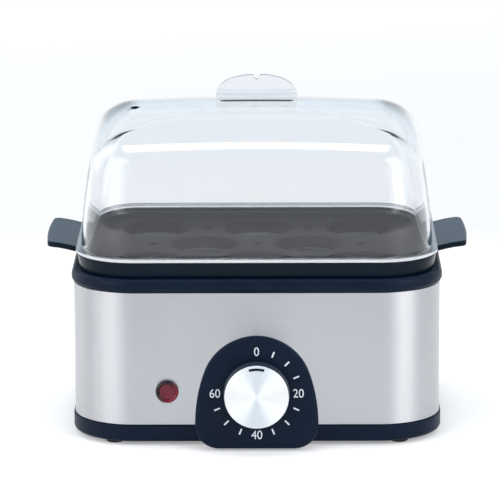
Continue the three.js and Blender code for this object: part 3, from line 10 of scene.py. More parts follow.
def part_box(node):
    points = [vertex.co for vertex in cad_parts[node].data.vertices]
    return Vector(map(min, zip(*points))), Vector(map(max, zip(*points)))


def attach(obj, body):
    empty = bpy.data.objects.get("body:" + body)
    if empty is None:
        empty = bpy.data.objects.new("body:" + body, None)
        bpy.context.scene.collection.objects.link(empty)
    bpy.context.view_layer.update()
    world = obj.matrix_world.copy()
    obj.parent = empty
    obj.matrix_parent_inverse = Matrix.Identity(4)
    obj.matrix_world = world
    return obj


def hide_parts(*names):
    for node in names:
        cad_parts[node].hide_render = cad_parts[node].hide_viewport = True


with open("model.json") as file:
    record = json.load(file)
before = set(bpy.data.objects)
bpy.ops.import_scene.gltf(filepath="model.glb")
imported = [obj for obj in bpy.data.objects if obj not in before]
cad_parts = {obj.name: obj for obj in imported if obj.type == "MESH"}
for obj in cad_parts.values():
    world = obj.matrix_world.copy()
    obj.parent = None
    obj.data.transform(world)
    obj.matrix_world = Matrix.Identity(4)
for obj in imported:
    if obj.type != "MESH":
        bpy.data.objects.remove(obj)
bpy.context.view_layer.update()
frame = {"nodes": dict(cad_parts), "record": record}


# Sizes are in mm from the body's middle. The CAD part is moved along Y to stand on its box's middle.
MM = 0.001
QUARTER = math.pi / 2
SHIFT_Y = sum(corner[1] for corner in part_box("steel_band")) / 2 / MM


def span(node):
    """A CAD piece's low and high corners, in mm from the body's middle."""
    return [(corner[0] / MM, corner[1] / MM - SHIFT_Y, corner[2] / MM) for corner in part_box(node)]


def midpoint(node, axis):
    low, high = span(node)
    return (low[axis] + high[axis]) / 2


def half_width(node, axis):
    low, high = span(node)
    return (high[axis] - low[axis]) / 2


# Clearances
SEAT = 0.3
SLIP = 0.4
RUN = 0.5
PRINT = 0.03

# Roundings that many pieces share, and the ring that closes a turned piece at its axis
FINE = 0.15
CRISP = 0.2
SMALL = 0.3
MEDIUM = 0.4
ROUND = 0.5
AXIS = 0.01

# Body, from the band's box
band_low, band_high = span("steel_band")
HALF_X, HALF_Y, BAND_HIGH = band_high
BAND_LOW = band_low[2]
BAND_FRONT = -HALF_Y
CORNER = 33.5
SHEET = 0.8
LINING = -SHEET - SEAT

# Base and feet
base_low, base_high = span("base_pan")
BASE_LOW = base_low[2]
BASE_SHOULDER = BAND_LOW - SEAT
BASE_LIP_TOP = base_high[2]
BASE_PROUD = base_high[0] - HALF_X
BASE_EDGE = 2.5
BASE_FLOOR = 2.5
BASE_FLOOR_ROUND = 0.8
BASE_LIP_WALL = 1.6
FOOT_X = midpoint("foot_front_right", 0)
FOOT_Y = midpoint("foot_front_right", 1)
FOOT_TOP = half_width("foot_front_right", 0)
FOOT_LOW = 4.4
FOOT_STEM = 2.2
FOOT_BARB = 3.2
FOOT_BARB_TOP = span("foot_front_right")[1][2]
ROD_X = midpoint("tie_rod_front_right", 0)
ROD_Y = midpoint("tie_rod_front_right", 1)
SCREW_HEAD = 3.0
SCREW_SHANK = 1.5
SCREW_RECESS = 2.5
HOLE_DEPTH = 9.0

# Upper trim
trim_low, trim_high = span("upper_trim")
TRIM_LOW = BAND_HIGH + SEAT
TRIM_LIP_LOW = trim_low[2]
TRIM_HIGH = trim_high[2]
TRIM_PROUD = trim_high[0] - HALF_X
TRIM_FOOT = 0.2
TRIM_CHIN = 1.7
TRIM_CHIN_ROUND = 1.2
TRIM_FACE = 1.6
TRIM_TOP_INSET = 1.5
TRIM_INNER = -5.0
TRIM_LIP_WALL = 2.2
LEDGE_DROP = 4.4
LEDGE_THICK = 2.5
LEDGE_WIDTH = 6.0
LEDGE_TOP = TRIM_HIGH - LEDGE_DROP
LEDGE_LOW = LEDGE_TOP - LEDGE_THICK
LEDGE_INNER = TRIM_INNER - LEDGE_WIDTH

# Dish
dish_low, dish_high = span("water_dish")
DISH_DEPTH = 13.4
DISH_RIM = dish_high[2] - SHEET
DISH_LOW = DISH_RIM - DISH_DEPTH
DISH_WALL_GAP = 1.0
DISH_WALL = LEDGE_INNER - DISH_WALL_GAP
DISH_EDGE = 2.5
DISH_LIP = 0.9
STUD_LOW = dish_low[2]
STUD_X = 14.0
STUD_RADIUS = 3.0
STUD_BORE = 1.8
STUD_BORE_DEPTH = 6.0

# Tray
tray_low, tray_high = span("egg_tray")
lid_low, lid_high = span("lid_dome")
TRAY_RISE = 8.0
TRAY_LOW = TRIM_HIGH + SEAT
TRAY_HIGH = TRAY_LOW + TRAY_RISE
TRAY_TOP_OUTER = -1.9
TRAY_FOOT = -3.4
TRAY_INNER = -4.3
TRAY_FILLET = 0.6
TRAY_FILLET_REACH = 0.7
DECK_DROP = 5.4
DECK_THICK = 1.6
DECK_TOP = TRAY_HIGH - DECK_DROP
DECK_LOW = DECK_TOP - DECK_THICK
SKIRT_DROP = 1.3
SKIRT_WALL = 1.6
SKIRT_LOW = TRAY_LOW - SKIRT_DROP
DISH_OUTER = TRIM_INNER - SLIP
SKIRT_INNER = DISH_OUTER - SKIRT_WALL
SEAT_TOP = 19.6
SEAT_LOW = 16.2
SEAT_DEPTH = DECK_TOP - tray_low[2]
SEAT_WALL = 1.5
SEAT_LIP = 0.8
SEAT_LIP_REACH = 0.3
SEAT_LIP_SET = 0.1
SEAT_SIDES = 48
PITCH_X = 57.0
PITCH_Y = 40.0
VENT = 2.8
VENT_LIP = 0.5
VENT_SIDES = 20
HANDLE_ROOT = HALF_X + TRAY_TOP_OUTER
HANDLE_END = tray_high[0]
HANDLE_HALF = 32.0
HANDLE_THICK = 3.0
HANDLE_RISE = tray_high[2] - TRAY_HIGH
HANDLE_CORNER = 3.6
HANDLE_BOW = 1.2
HANDLE_EDGE = 0.9

# Lid and grip
FLANGE_THICK = 2.0
FLANGE_WIDTH = 3.0
FLANGE_FILLET = 0.9
FLANGE_LOW = TRAY_HIGH + SEAT
FLANGE_HIGH = FLANGE_LOW + FLANGE_THICK
FLANGE_OUTER = lid_high[0] - HALF_X
DOME_FOOT = FLANGE_OUTER - FLANGE_WIDTH
DOME_FOOT_LEAN, DOME_FOOT_RISE = 0.15, 4
SPIGOT_WALL = 1.6
SPIGOT_LOW = lid_low[2]
SPIGOT_OUTER = TRAY_INNER - SLIP
SPIGOT_INNER = SPIGOT_OUTER - SPIGOT_WALL
DOME_STEPS = 14
LID_WALL = 2.0
LID_LEAN = 4.8
LEAN_POWER = 1.7
CROWN_TOP = 174.2
CROWN_RADIUS_X = 1300.0
CROWN_RADIUS_Y = 148.0
SHOULDER_SIDE_WIDE, SHOULDER_SIDE_TALL = 22.5, 18.2
SHOULDER_FRONT_WIDE, SHOULDER_FRONT_TALL = 10.0, 6.0
SLOT_HALF = 20.3
SLOT_THICK = 2.3
VENT_X, VENT_Y, LID_VENT = -66.0, -10.0, 2.4
grip_high = span("lid_grip")[1]
GRIP_HALF = grip_high[0]
GRIP_HEIGHT = grip_high[2] - CROWN_TOP
GRIP_COLLAR = 1.9
GRIP_SQUARENESS = 2.3
GRIP_ARC = math.radians(80)
GRIP_EDGE = 0.35
GRIP_THIN = 1.2
GRIP_EXTRA = 0.8
BEND_TOP, BEND_DROP = 5.6, 2.2
GRIP_TONGUE = [(20.0, -4.4), (21.6, -4.1), (21.8, -2.9), (20.0, -2.5), (20.0, 0.35), (22.2, 0.5)]
GRIP_NOTCH = [(2.6, 14.25), (1.7, 13.8), (1.15, 12.7), (0.6, 12.0), (0.0, 11.8)]
GRIP_LEVELS = (0.6, 1.9, 3.3, 4.2, 5.1, 6.0, 8.0)
GRIP_LEVEL_NEAR, GRIP_LEVEL_INSET, GRIP_LEVEL_STEPS = 1.6, 1.2, 16

# Dial, knob and marks
cap_low, cap_high = span("knob_cap")
core_low, core_high = span("knob_core")
housing_low, housing_high = span("dial_housing")
DIAL_Z = midpoint("knob_cap", 2)
HOUSING_REAR = BAND_FRONT - SEAT
HOUSING_FRONT = housing_low[1]
HOUSING_HALF = housing_high[0]
HOUSING_FLOOR = housing_low[2]
HOUSING_RADIUS = 29.6
ARCH_Z = housing_high[2] - HOUSING_RADIUS
HOUSING_CORNER = 12.7
HOUSING_PULL_SHARE = 0.17
HOUSING_BEVEL = 1.5
HOUSING_DRAFT = 2.5
HOUSING_WALL = 2.0
HOUSING_FILLET = 0.6
PEG_X, PEG_RADIUS = 25.3, 1.8
KNOB_FRONT = cap_low[1]
KNOB_CAP_REAR = cap_high[1]
KNOB_REAR = core_high[1]
KNOB_FACE = cap_high[0]
KNOB_SKIRT = core_high[0]
KNOB_SHEET = 0.8
SHAFT_RADIUS = half_width("timer_shaft", 0)
SHAFT_FRONT = span("timer_shaft")[0][1]
POINTER_RADIUS = 15.2
POINTER_HALF_THICK = 0.4
POINTER_HALF_ANGLE = math.radians(14.5)
NUMBER_ACROSS, NUMBER_UP = 22.2, 22.8
NUMBER_HEIGHT = 4.7
NUMBER_NARROW = 0.9
TICK_RADIUS, TICK_LONG, TICK_THICK = 22.8, 3.3, 0.84
TICK_STEP = math.radians(22.5)

# Lamp and bushing
lamp_low, lamp_high = span("lamp_lens")
bushing_low, bushing_high = span("cord_bushing")
LAMP_X = midpoint("lamp_lens", 0)
LAMP_Z = midpoint("lamp_lens", 2)
LAMP_RADIUS = half_width("lamp_lens", 0)
LAMP_BARREL, LAMP_BARREL_WALL = 4.7, 1
LAMP_DISC = 4.2
LAMP_SLOPE, LAMP_RING_TOP = 0.4, 1.0
LAMP_SLOPE_SHARE, LAMP_EDGE_SHARE = 0.85, 0.8
LAMP_ROUND = 0.7
LAMP_PROUD = BAND_FRONT - lamp_low[1]
LAMP_TAIL = lamp_high[1] - BAND_FRONT
BUSHING_X = midpoint("cord_bushing", 0)
BUSHING_Z = midpoint("cord_bushing", 2)
BUSHING_RADIUS = half_width("cord_bushing", 0)
BUSHING_ROUND, BUSHING_TAPER = 0.9, 0.8
BUSHING_NECK = 5.6
BUSHING_BORE = 3.6
BUSHING_COLLAR, BUSHING_COLLAR_THICK = 7.2, 1.8
BUSHING_REACH = bushing_high[1] - HALF_Y
BUSHING_TAIL = bushing_low[1] - HALF_Y

# Camera, from the body's middle
CAMERA_X, CAMERA_Y, CAMERA_Z = 12.0, -1986.4, 533.7
CAMERA_PITCH = 12.584
CAMERA_YAW = 0.345
CAMERA_ROLL = 0.2
CAMERA_LENS = 266.0
CAMERA_SHIFT = -0.0089

# Studio, in metres
FLOOR_REACH = 12.0
# How far from the body, and how much the floor glows there so that it reads as white paper
FLOOR_GLOW = [(0.0, 0.3), (0.35, 0.28), (0.5, 0.1), (0.95, 0.24), (1.4, 0.42), (3.0, 0.6)]
WORLD_FILL = 0.45
WHITE_WORLD = (0.96, 0.98, 1.0)
SKY_TINT = (0.66, 0.84, 1.0)
SKY_BAND = (0.02, 0.16)
LIGHT_AIM = 0.1
# Name, degrees round from the front, reach, height, width, length and watts
SIDE_BOXES = [
    ("right_box", 52, 1.42, 0.75, 0.8, 1.4, 5.8),
    ("right_wide_box", 52, 1.5, 0.75, 1.5, 1.4, 6.6),
    ("left_box", -50, 1.42, 0.75, 0.8, 1.4, 4.2),
    ("left_wide_box", -54, 1.5, 0.75, 1.9, 1.4, 9.0),
    ("rear_right_box", 125, 1.4, 0.7, 0.6, 1.2, 0.4),
    ("rear_left_box", -120, 1.4, 0.7, 0.6, 1.2, 3.0),
]


def put(point):
    x, y, z = point
    return Vector((x * MM, (y + SHIFT_Y) * MM, z * MM))


def cleaned(mesh):
    tidy = bmesh.new()
    tidy.from_mesh(mesh)
    bmesh.ops.remove_doubles(tidy, verts=tidy.verts, dist=1e-6)
    bmesh.ops.dissolve_degenerate(tidy, dist=1e-7, edges=tidy.edges)
    bmesh.ops.recalc_face_normals(tidy, faces=tidy.faces)
    tidy.to_mesh(mesh)
    tidy.free()
    return mesh


def loose(name, points, faces):
    mesh = bpy.data.meshes.new(name)
    mesh.from_pydata([put(point) for point in points], [], faces)
    return cleaned(mesh)


def linked(name, mesh):
    thing = bpy.data.objects.new(name, mesh)
    bpy.context.scene.collection.objects.link(thing)
    return thing


def finish_piece(name, mesh, body, material, replaced=(), sharp=32.0):
    """A shown piece, with soft faces and sharp corners. It rides a body and stands in for CAD pieces."""
    cleaned(mesh)
    mesh.materials.clear()
    mesh.materials.append(MATERIALS[material])
    for face in mesh.polygons:
        face.use_smooth = True
    mesh.set_sharp_from_angle(angle=math.radians(sharp))
    thing = linked(name, mesh)
    weighted = thing.modifiers.new("weighted", "WEIGHTED_NORMAL")
    weighted.keep_sharp = True
    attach(thing, body)
    if replaced:
        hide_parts(*replaced)
    return thing


def piece(name, solid, body, material, replaced=(), sharp=32.0, cutters=()):
    mesh = carve(name, solid, cutters) if cutters else loose(name, *solid)
    return finish_piece(name, mesh, body, material, replaced, sharp)


def carve(name, solid, cutters):
    """A mesh with the given solids cut away from it, by the exact boolean."""
    whole = linked(name + "_whole", loose(name + "_whole", *solid))
    tools = []
    for at, cutter in enumerate(cutters):
        title = f"{name}_tool_{at}"
        tool = linked(title, loose(title, *cutter))
        step = whole.modifiers.new(title, "BOOLEAN")
        step.operation = "DIFFERENCE"
        step.solver = "EXACT"
        step.object = tool
        tools.append(tool)
    bpy.context.view_layer.update()
    graph = bpy.context.evaluated_depsgraph_get()
    mesh = bpy.data.meshes.new_from_object(whole.evaluated_get(graph))
    mesh.name = name
    for thing in [whole, *tools]:
        bpy.data.objects.remove(thing)
    return mesh


def rounded_section(rows, closed=True, steps=4):
    """Rows (a, b, radius) with each corner turned to an arc of that radius."""
    count = len(rows)
    out = []
    for at, (a, b, radius) in enumerate(rows):
        here = Vector((a, b))
        if radius <= 0 or (not closed and at in (0, count - 1)):
            out.append((a, b))
            continue
        before = Vector(rows[at - 1][:2]) - here
        after = Vector(rows[(at + 1) % count][:2]) - here
        opening = before.angle(after)
        reach = min(radius / math.tan(opening / 2), 0.49 * before.length, 0.49 * after.length)
        real = reach * math.tan(opening / 2)
        bisector = (before.normalized() + after.normalized()).normalized()
        middle = here + bisector * (real / math.sin(opening / 2))
        start = here + before.normalized() * reach - middle
        end = here + after.normalized() * reach - middle
        turn = start.angle_signed(end)
        for step in range(steps + 1):
            angle = -turn * step / steps
            cos, sin = math.cos(angle), math.sin(angle)
            out.append((middle.x + start.x * cos - start.y * sin, middle.y + start.x * sin + start.y * cos))
    return out


def quarter_turn(steps):
    return [step / steps * QUARTER for step in range(steps + 1)]


def circle(radius, x, y, sides):
    angles = [2 * math.pi * at / sides for at in range(sides)]
    return [(x + radius * math.cos(angle), y + radius * math.sin(angle)) for angle in angles]


def plan_ring(offset, z, steps):
    """A ring round the body's plan, moved out by offset, at one height."""
    return shaped_ring(HALF_X, HALF_Y, CORNER, steps, 1, lambda angle: -offset, lambda x, y, angle: z)


def shaped_ring(half_x, half_y, corner, steps, straight, inset_at, height_at):
    quarters = [(1, 1), (-1, 1), (-1, -1), (1, -1)]
    ring = []

    def add(side_x, side_y, angle):
        radius = corner - inset_at(angle)
        x = side_x * (half_x - corner) + radius * math.cos(angle)
        y = side_y * (half_y - corner) + radius * math.sin(angle)
        ring.append((x, y, height_at(x, y, angle)))

    for at, quarter in enumerate(quarters):
        for step in range(steps + 1):
            add(*quarter, (at + step / steps) * QUARTER)
        following = quarters[(at + 1) % 4]
        for step in range(1, straight):
            share = step / straight
            add(*[a + (b - a) * share for a, b in zip(quarter, following)], (at + 1) * QUARTER)
    return ring


def loft(rings, closed=False, first_cap=False, last_cap=False):
    """Points and faces of a skin through rings of equal length."""
    count = len(rings[0])
    points = [point for ring in rings for point in ring]
    faces = []
    bands = len(rings) if closed else len(rings) - 1
    for ring in range(bands):
        low = ring * count
        high = (ring + 1) % len(rings) * count
        for at in range(count):
            beside = (at + 1) % count
            faces.append((low + at, low + beside, high + beside, high + at))
    if first_cap:
        faces.append(tuple(reversed(range(count))))
    if last_cap:
        faces.append(tuple(range((len(rings) - 1) * count, len(rings) * count)))
    return points, faces


def joined(*solids):
    points, faces = [], []
    for some_points, some_faces in solids:
        start = len(points)
        points.extend(some_points)
        faces.extend(tuple(index + start for index in face) for face in some_faces)
    return points, faces


def turned(rows, x, y, z, along="z", sides=64, closed=False):
    """Rows (radius, place) turned about an axis through a point, either upright or level along Y."""
    rings = []
    for radius, place in rows:
        if along == "z":
            rings.append([(a, b, z + place) for a, b in circle(radius, x, y, sides)])
        else:
            rings.append([(a, y + place, b) for a, b in circle(radius, x, z, sides)])
    return loft(rings, closed, not closed, not closed)


def rod(radius, low, high, x, y, z, along="y", sides=48):
    return turned([(radius, low), (radius, high)], x, y, z, along, sides)


def block(low, high):
    (x0, y0, z0), (x1, y1, z1) = low, high
    points = [(x, y, z) for z in (z0, z1) for y in (y0, y1) for x in (x0, x1)]
    faces = [(0, 2, 3, 1), (4, 5, 7, 6), (0, 1, 5, 4), (2, 6, 7, 3), (0, 4, 6, 2), (1, 3, 7, 5)]
    return points, faces


# Materials
MATERIALS = {}


def first_node(tree, kind):
    return next(node for node in tree.nodes if node.type == kind)


def new_material(name):
    material = bpy.data.materials.new(name)
    material.use_nodes = True
    MATERIALS[name] = material
    return material.node_tree, first_node(material.node_tree, "BSDF_PRINCIPLED")


def set_sockets(node, **values):
    """Plain values for some of a node's sockets."""
    for socket, value in values.items():
        node.inputs[socket.replace("_", " ")].default_value = value
    return node


def add_node(tree, kind, **values):
    return set_sockets(tree.nodes.new("ShaderNode" + kind), **values)


def surface_noise(tree, scale, detail=4.0, rough=0.55, stretch=(1.0, 1.0, 1.0)):
    where = add_node(tree, "TexCoord")
    mapping = add_node(tree, "Mapping", Scale=stretch)
    noise = add_node(tree, "TexNoise", Scale=scale, Detail=detail, Roughness=rough)
    tree.links.new(where.outputs["Object"], mapping.inputs["Vector"])
    tree.links.new(mapping.outputs["Vector"], noise.inputs["Vector"])
    return noise.outputs["Fac"]


def ramp_between(tree, factor, low, high, start=0.3, end=0.7):
    ramp = add_node(tree, "ValToRGB")
    for stop, position, colour in zip(ramp.color_ramp.elements, (start, end), (low, high)):
        stop.position = position
        stop.color = (*colour, 1.0)
    tree.links.new(factor, ramp.inputs["Fac"])
    return ramp.outputs["Color"]


def range_between(tree, factor, low, high, start=0.3, end=0.7):
    node = add_node(tree, "MapRange", From_Min=start, From_Max=end, To_Min=low, To_Max=high)
    tree.links.new(factor, node.inputs["Value"])
    return node.outputs["Result"]


def combine(tree, operation, first, second):
    node = add_node(tree, "Math")
    node.operation = operation
    tree.links.new(first, node.inputs[0])
    tree.links.new(second, node.inputs[1])
    return node.outputs[0]


def vector_step(tree, operation, vector, value=(0.0, 0.0, 0.0)):
    """One step of vector arithmetic, with a plain second value."""
    node = add_node(tree, "VectorMath")
    node.operation = operation
    node.inputs[1].default_value = value
    tree.links.new(vector, node.inputs[0])
    return node.outputs


def add_bump(tree, shader, factor, strength, distance):
    bump = add_node(tree, "Bump", Strength=strength, Distance=distance)
    tree.links.new(factor, bump.inputs["Height"])
    tree.links.new(bump.outputs["Normal"], shader.inputs["Normal"])


def distance_from(tree, place, keep):
    """How far a surface point is from a place, along the axes kept."""
    where = add_node(tree, "TexCoord").outputs["Object"]
    offset = vector_step(tree, "SUBTRACT", where, place)["Vector"]
    flat = vector_step(tree, "MULTIPLY", offset, keep)["Vector"]
    return vector_step(tree, "LENGTH", flat)["Value"], flat


def draw_out(tree, shader, axis):
    """Turn the gloss's long way with the brushing, which runs round an axis."""
    tangent = add_node(tree, "Tangent")
    tangent.direction_type = "RADIAL"
    tangent.axis = axis
    tree.links.new(tangent.outputs["Tangent"], shader.inputs["Tangent"])
    set_sockets(shader, Anisotropic_Rotation=0.25)


def linear(red, green, blue):
    return tuple(pow(value / 255.0, 2.2) for value in (red, green, blue))


def grained(name, dark, light, rough, broad=35.0, fine=900.0, bump=0.15, depth=0.00006,
            stretch=(1, 1, 1), **sockets):
    """A broad drift of colour, a fine grain in the relief, and a gloss that follows the grain."""
    tree, shader = new_material(name)
    drift = surface_noise(tree, broad, 5.0, 0.6)
    grain = surface_noise(tree, fine, 3.0, 0.6, stretch)
    tree.links.new(ramp_between(tree, drift, linear(*dark), linear(*light)), shader.inputs["Base Color"])
    tree.links.new(range_between(tree, grain, *rough), shader.inputs["Roughness"])
    add_bump(tree, shader, grain, bump, depth)
    set_sockets(shader, **sockets)
    return tree, shader


def spun_metal(name):
    """Concentric turning marks about the dial's middle, with a gloss drawn out across them."""
    tree, shader = new_material(name)
    distance, _ = distance_from(tree, (0.0, 0.0, DIAL_Z * MM), (1.0, 0.0, 1.0))
    ringed = add_node(tree, "TexNoise")
    ringed.noise_dimensions = "1D"
    set_sockets(ringed, Scale=2600.0, Detail=3.0)
    tree.links.new(distance, ringed.inputs["W"])
    rings = ringed.outputs["Fac"]
    tint = ramp_between(tree, rings, linear(227, 229, 231), linear(235, 237, 239))
    tree.links.new(tint, shader.inputs["Base Color"])
    tree.links.new(range_between(tree, rings, 0.4, 0.48), shader.inputs["Roughness"])
    add_bump(tree, shader, rings, 0.03, 0.00002)
    set_sockets(shader, Metallic=1.0, Anisotropic=0.95)
    draw_out(tree, shader, "Y")


def red_lens(name):
    """A red moulding: its ring carries painted shade, darker than its disc at the upper left, and a painted
    highlight, brighter than the disc at the lower right.
    """
    tree, shader = new_material(name)
    middle = (LAMP_X * MM, 0.0, LAMP_Z * MM)
    distance, offset = distance_from(tree, middle, (1.0, 0.0, 1.0))
    # The ring's colour runs along this slant, from painted shade at the upper left to a painted highlight at
    # the lower right
    shade_slant = vector_step(tree, "DOT_PRODUCT", offset, (1.0, 0.0, -0.8))["Value"]
    half = LAMP_RADIUS * MM
    across = range_between(tree, shade_slant, 0.0, 1.0, -half, half)
    ring = ramp_between(tree, across, linear(30, 12, 20), linear(118, 18, 40), 0.3, 0.95)
    mottle = surface_noise(tree, 700.0, 3.0, 0.6)
    disc = ramp_between(tree, mottle, linear(88, 22, 38), linear(114, 30, 49))
    edge = range_between(tree, distance, 0.0, 1.0, (LAMP_DISC - 0.5) * MM, (LAMP_DISC + 0.2) * MM)
    blend = add_node(tree, "Mix")
    blend.data_type = "RGBA"
    first, second = [socket for socket in blend.inputs if socket.type == "RGBA"]
    result = next(socket for socket in blend.outputs if socket.type == "RGBA")
    tree.links.new(edge, blend.inputs[0])
    tree.links.new(disc, first)
    tree.links.new(ring, second)
    tree.links.new(result, shader.inputs["Base Color"])
    tree.links.new(range_between(tree, mottle, 0.16, 0.3), shader.inputs["Roughness"])
    add_bump(tree, shader, mottle, 0.12, 0.00004)
    set_sockets(shader, Specular_IOR_Level=0.25, Coat_Weight=0.15)


def clear_plastic(name, face_tint, edge_painted_shade):
    """Clear moulding: it refracts what is seen through it, carries painted shade that greys it towards its
    glancing edges, and casts a pale shadow.
    """
    tree, shader = new_material(name)
    drift = surface_noise(tree, 12.0, 3.0, 0.5)
    fine = surface_noise(tree, 420.0, 2.0, 0.5)
    # The base colour greys towards glancing edges: painted shade
    facing = add_node(tree, "LayerWeight", Blend=0.25).outputs["Facing"]
    tint = ramp_between(tree, facing, face_tint, edge_painted_shade, 0.35, 1.0)
    tree.links.new(tint, shader.inputs["Base Color"])
    tree.links.new(range_between(tree, drift, 0.012, 0.035), shader.inputs["Roughness"])
    add_bump(tree, shader, fine, 0.02, 0.00002)
    set_sockets(shader, IOR=1.49, Transmission_Weight=1.0)
    through = add_node(tree, "BsdfTransparent", Color=(0.96, 0.97, 0.98, 1.0))
    path = add_node(tree, "LightPath").outputs
    mix = add_node(tree, "MixShader")
    gathered = combine(tree, "MAXIMUM", path["Is Shadow Ray"], path["Is Diffuse Ray"])
    tree.links.new(gathered, mix.inputs["Fac"])
    tree.links.new(shader.outputs["BSDF"], mix.inputs[1])
    tree.links.new(through.outputs["BSDF"], mix.inputs[2])
    tree.links.new(mix.outputs["Shader"], first_node(tree, "OUTPUT_MATERIAL").inputs["Surface"])


steel = grained("brushed_steel", (179, 178, 180), (187, 186, 188), (0.27, 0.37), broad=8.0, fine=30.0,
                bump=0.06, depth=0.00004, stretch=(1.0, 1.0, 130.0), Metallic=1.0, Anisotropic=0.9)
draw_out(*steel, "Z")
spun_metal("spun_metal")
red_lens("red_lens")
clear_plastic("clear", (0.95, 0.96, 0.97), (0.76, 0.79, 0.83))
# The grip's copy is greyer all over: painted shade that gives the thin clear tab its pale grey look
clear_plastic("clear_grip", (0.85, 0.87, 0.895), (0.66, 0.69, 0.73))
# Pale and mostly opaque: the painted highlight on the lid flange's outer edge
grained("clear_edge", (226, 229, 233), (238, 240, 243), (0.25, 0.4), fine=1200.0, bump=0.05,
        Transmission_Weight=0.25, IOR=1.49)
grained("plain_steel", (150, 154, 160), (186, 190, 195), (0.26, 0.42), broad=60.0, fine=700.0,
        bump=0.1, Metallic=1.0)
grained("brass", (170, 128, 58), (214, 172, 92), (0.22, 0.4), broad=90.0, fine=1200.0, bump=0.1, Metallic=1.0)
grained("black_moulding", (9, 24, 41), (13, 29, 47), (0.36, 0.48), broad=30.0, fine=1600.0, bump=0.1,
        depth=0.00003, IOR=1.5, Specular_IOR_Level=0.12)
grained("gloss_black", (18, 29, 39), (22, 34, 45), (0.16, 0.24), broad=25.0, fine=500.0, bump=0.02,
        depth=0.00001, IOR=1.5, Specular_IOR_Level=0.08)
grained("grained_black", (22, 20, 27), (28, 25, 33), (0.42, 0.55), broad=30.0, fine=1300.0,
        depth=0.00003, IOR=1.5, Specular_IOR_Level=0.015)
grained("rubber", (26, 27, 29), (36, 37, 40), (0.62, 0.8), broad=50.0, fine=1400.0, bump=0.35)
grained("seal", (196, 192, 184), (216, 212, 205), (0.5, 0.66), broad=80.0, fine=1000.0, bump=0.2)
grained("bulb_glass", (232, 214, 205), (250, 238, 230), (0.06, 0.16), broad=200.0, bump=0.03,
        Transmission_Weight=0.7, IOR=1.5)
grained("pale_moulding", (222, 222, 216), (240, 240, 235), (0.4, 0.55), broad=70.0, fine=1300.0, bump=0.12)
for name, dark, light, broad in (
    ("brown_wire", (84, 48, 30), (104, 62, 40), 90.0),
    ("blue_wire", (30, 74, 150), (44, 96, 176), 90.0),
    ("green_wire", (40, 120, 52), (196, 190, 60), 160.0),
):
    grained(name, dark, light, (0.4, 0.55), broad=broad, fine=1500.0, bump=0.1)
grained("print", (214, 221, 229), (230, 236, 242), (0.5, 0.62), broad=300.0, fine=2500.0, bump=0.1)


# Stainless band, with holes for the lamp, the timer's shaft, the bushing and the housing's pegs
def make_band():
    bend = SHEET / 3
    section = rounded_section([
        (0, BAND_LOW, bend),
        (0, BAND_HIGH, bend),
        (-SHEET, BAND_HIGH, bend),
        (-SHEET, BAND_LOW, bend),
    ], steps=3)
    sheet = loft([plan_ring(*row, steps=24) for row in section], closed=True)
    front = BAND_FRONT + SHEET / 2
    deep = 4 * SHEET
    cutters = [
        rod(LAMP_BARREL + SEAT, -deep, deep, LAMP_X, front, LAMP_Z),
        rod(SHAFT_RADIUS + RUN, -deep, deep, 0, front, DIAL_Z),
        rod(BUSHING_NECK + SEAT, -deep, deep, BUSHING_X, -front, BUSHING_Z),
    ]
    cutters += [rod(PEG_RADIUS + SEAT, -deep, deep, side * PEG_X, front, DIAL_Z) for side in (-1, 1)]
    piece("band_sheet", sheet, "boiler", "brushed_steel", ["steel_band"], cutters=cutters)


def make_trim():
    face_top = TRIM_LOW + TRIM_CHIN + TRIM_FACE
    brow = []
    for angle in quarter_turn(8)[1:]:
        inset = (TRIM_PROUD + TRIM_TOP_INSET) * (1 - math.cos(angle))
        brow.append((TRIM_PROUD - inset, face_top + (TRIM_HIGH - face_top) * math.sin(angle), 0))
    section = rounded_section([
        (TRIM_FOOT, TRIM_LOW, SMALL),
        (TRIM_PROUD, TRIM_LOW + TRIM_CHIN, TRIM_CHIN_ROUND),
        (TRIM_PROUD, face_top, 0),
        *brow,
        (TRIM_INNER, TRIM_HIGH, ROUND),
        (TRIM_INNER, LEDGE_TOP, MEDIUM),
        (LEDGE_INNER, LEDGE_TOP, ROUND),
        (LEDGE_INNER, LEDGE_LOW, ROUND),
        (LINING - TRIM_LIP_WALL, LEDGE_LOW, MEDIUM),
        (LINING - TRIM_LIP_WALL, TRIM_LIP_LOW, SMALL),
        (LINING, TRIM_LIP_LOW, SMALL),
        (LINING, TRIM_LOW, CRISP),
    ], steps=4)
    ring = loft([plan_ring(*row, steps=18) for row in section], closed=True)
    piece("trim_ring", ring, "boiler", "black_moulding", ["upper_trim"])


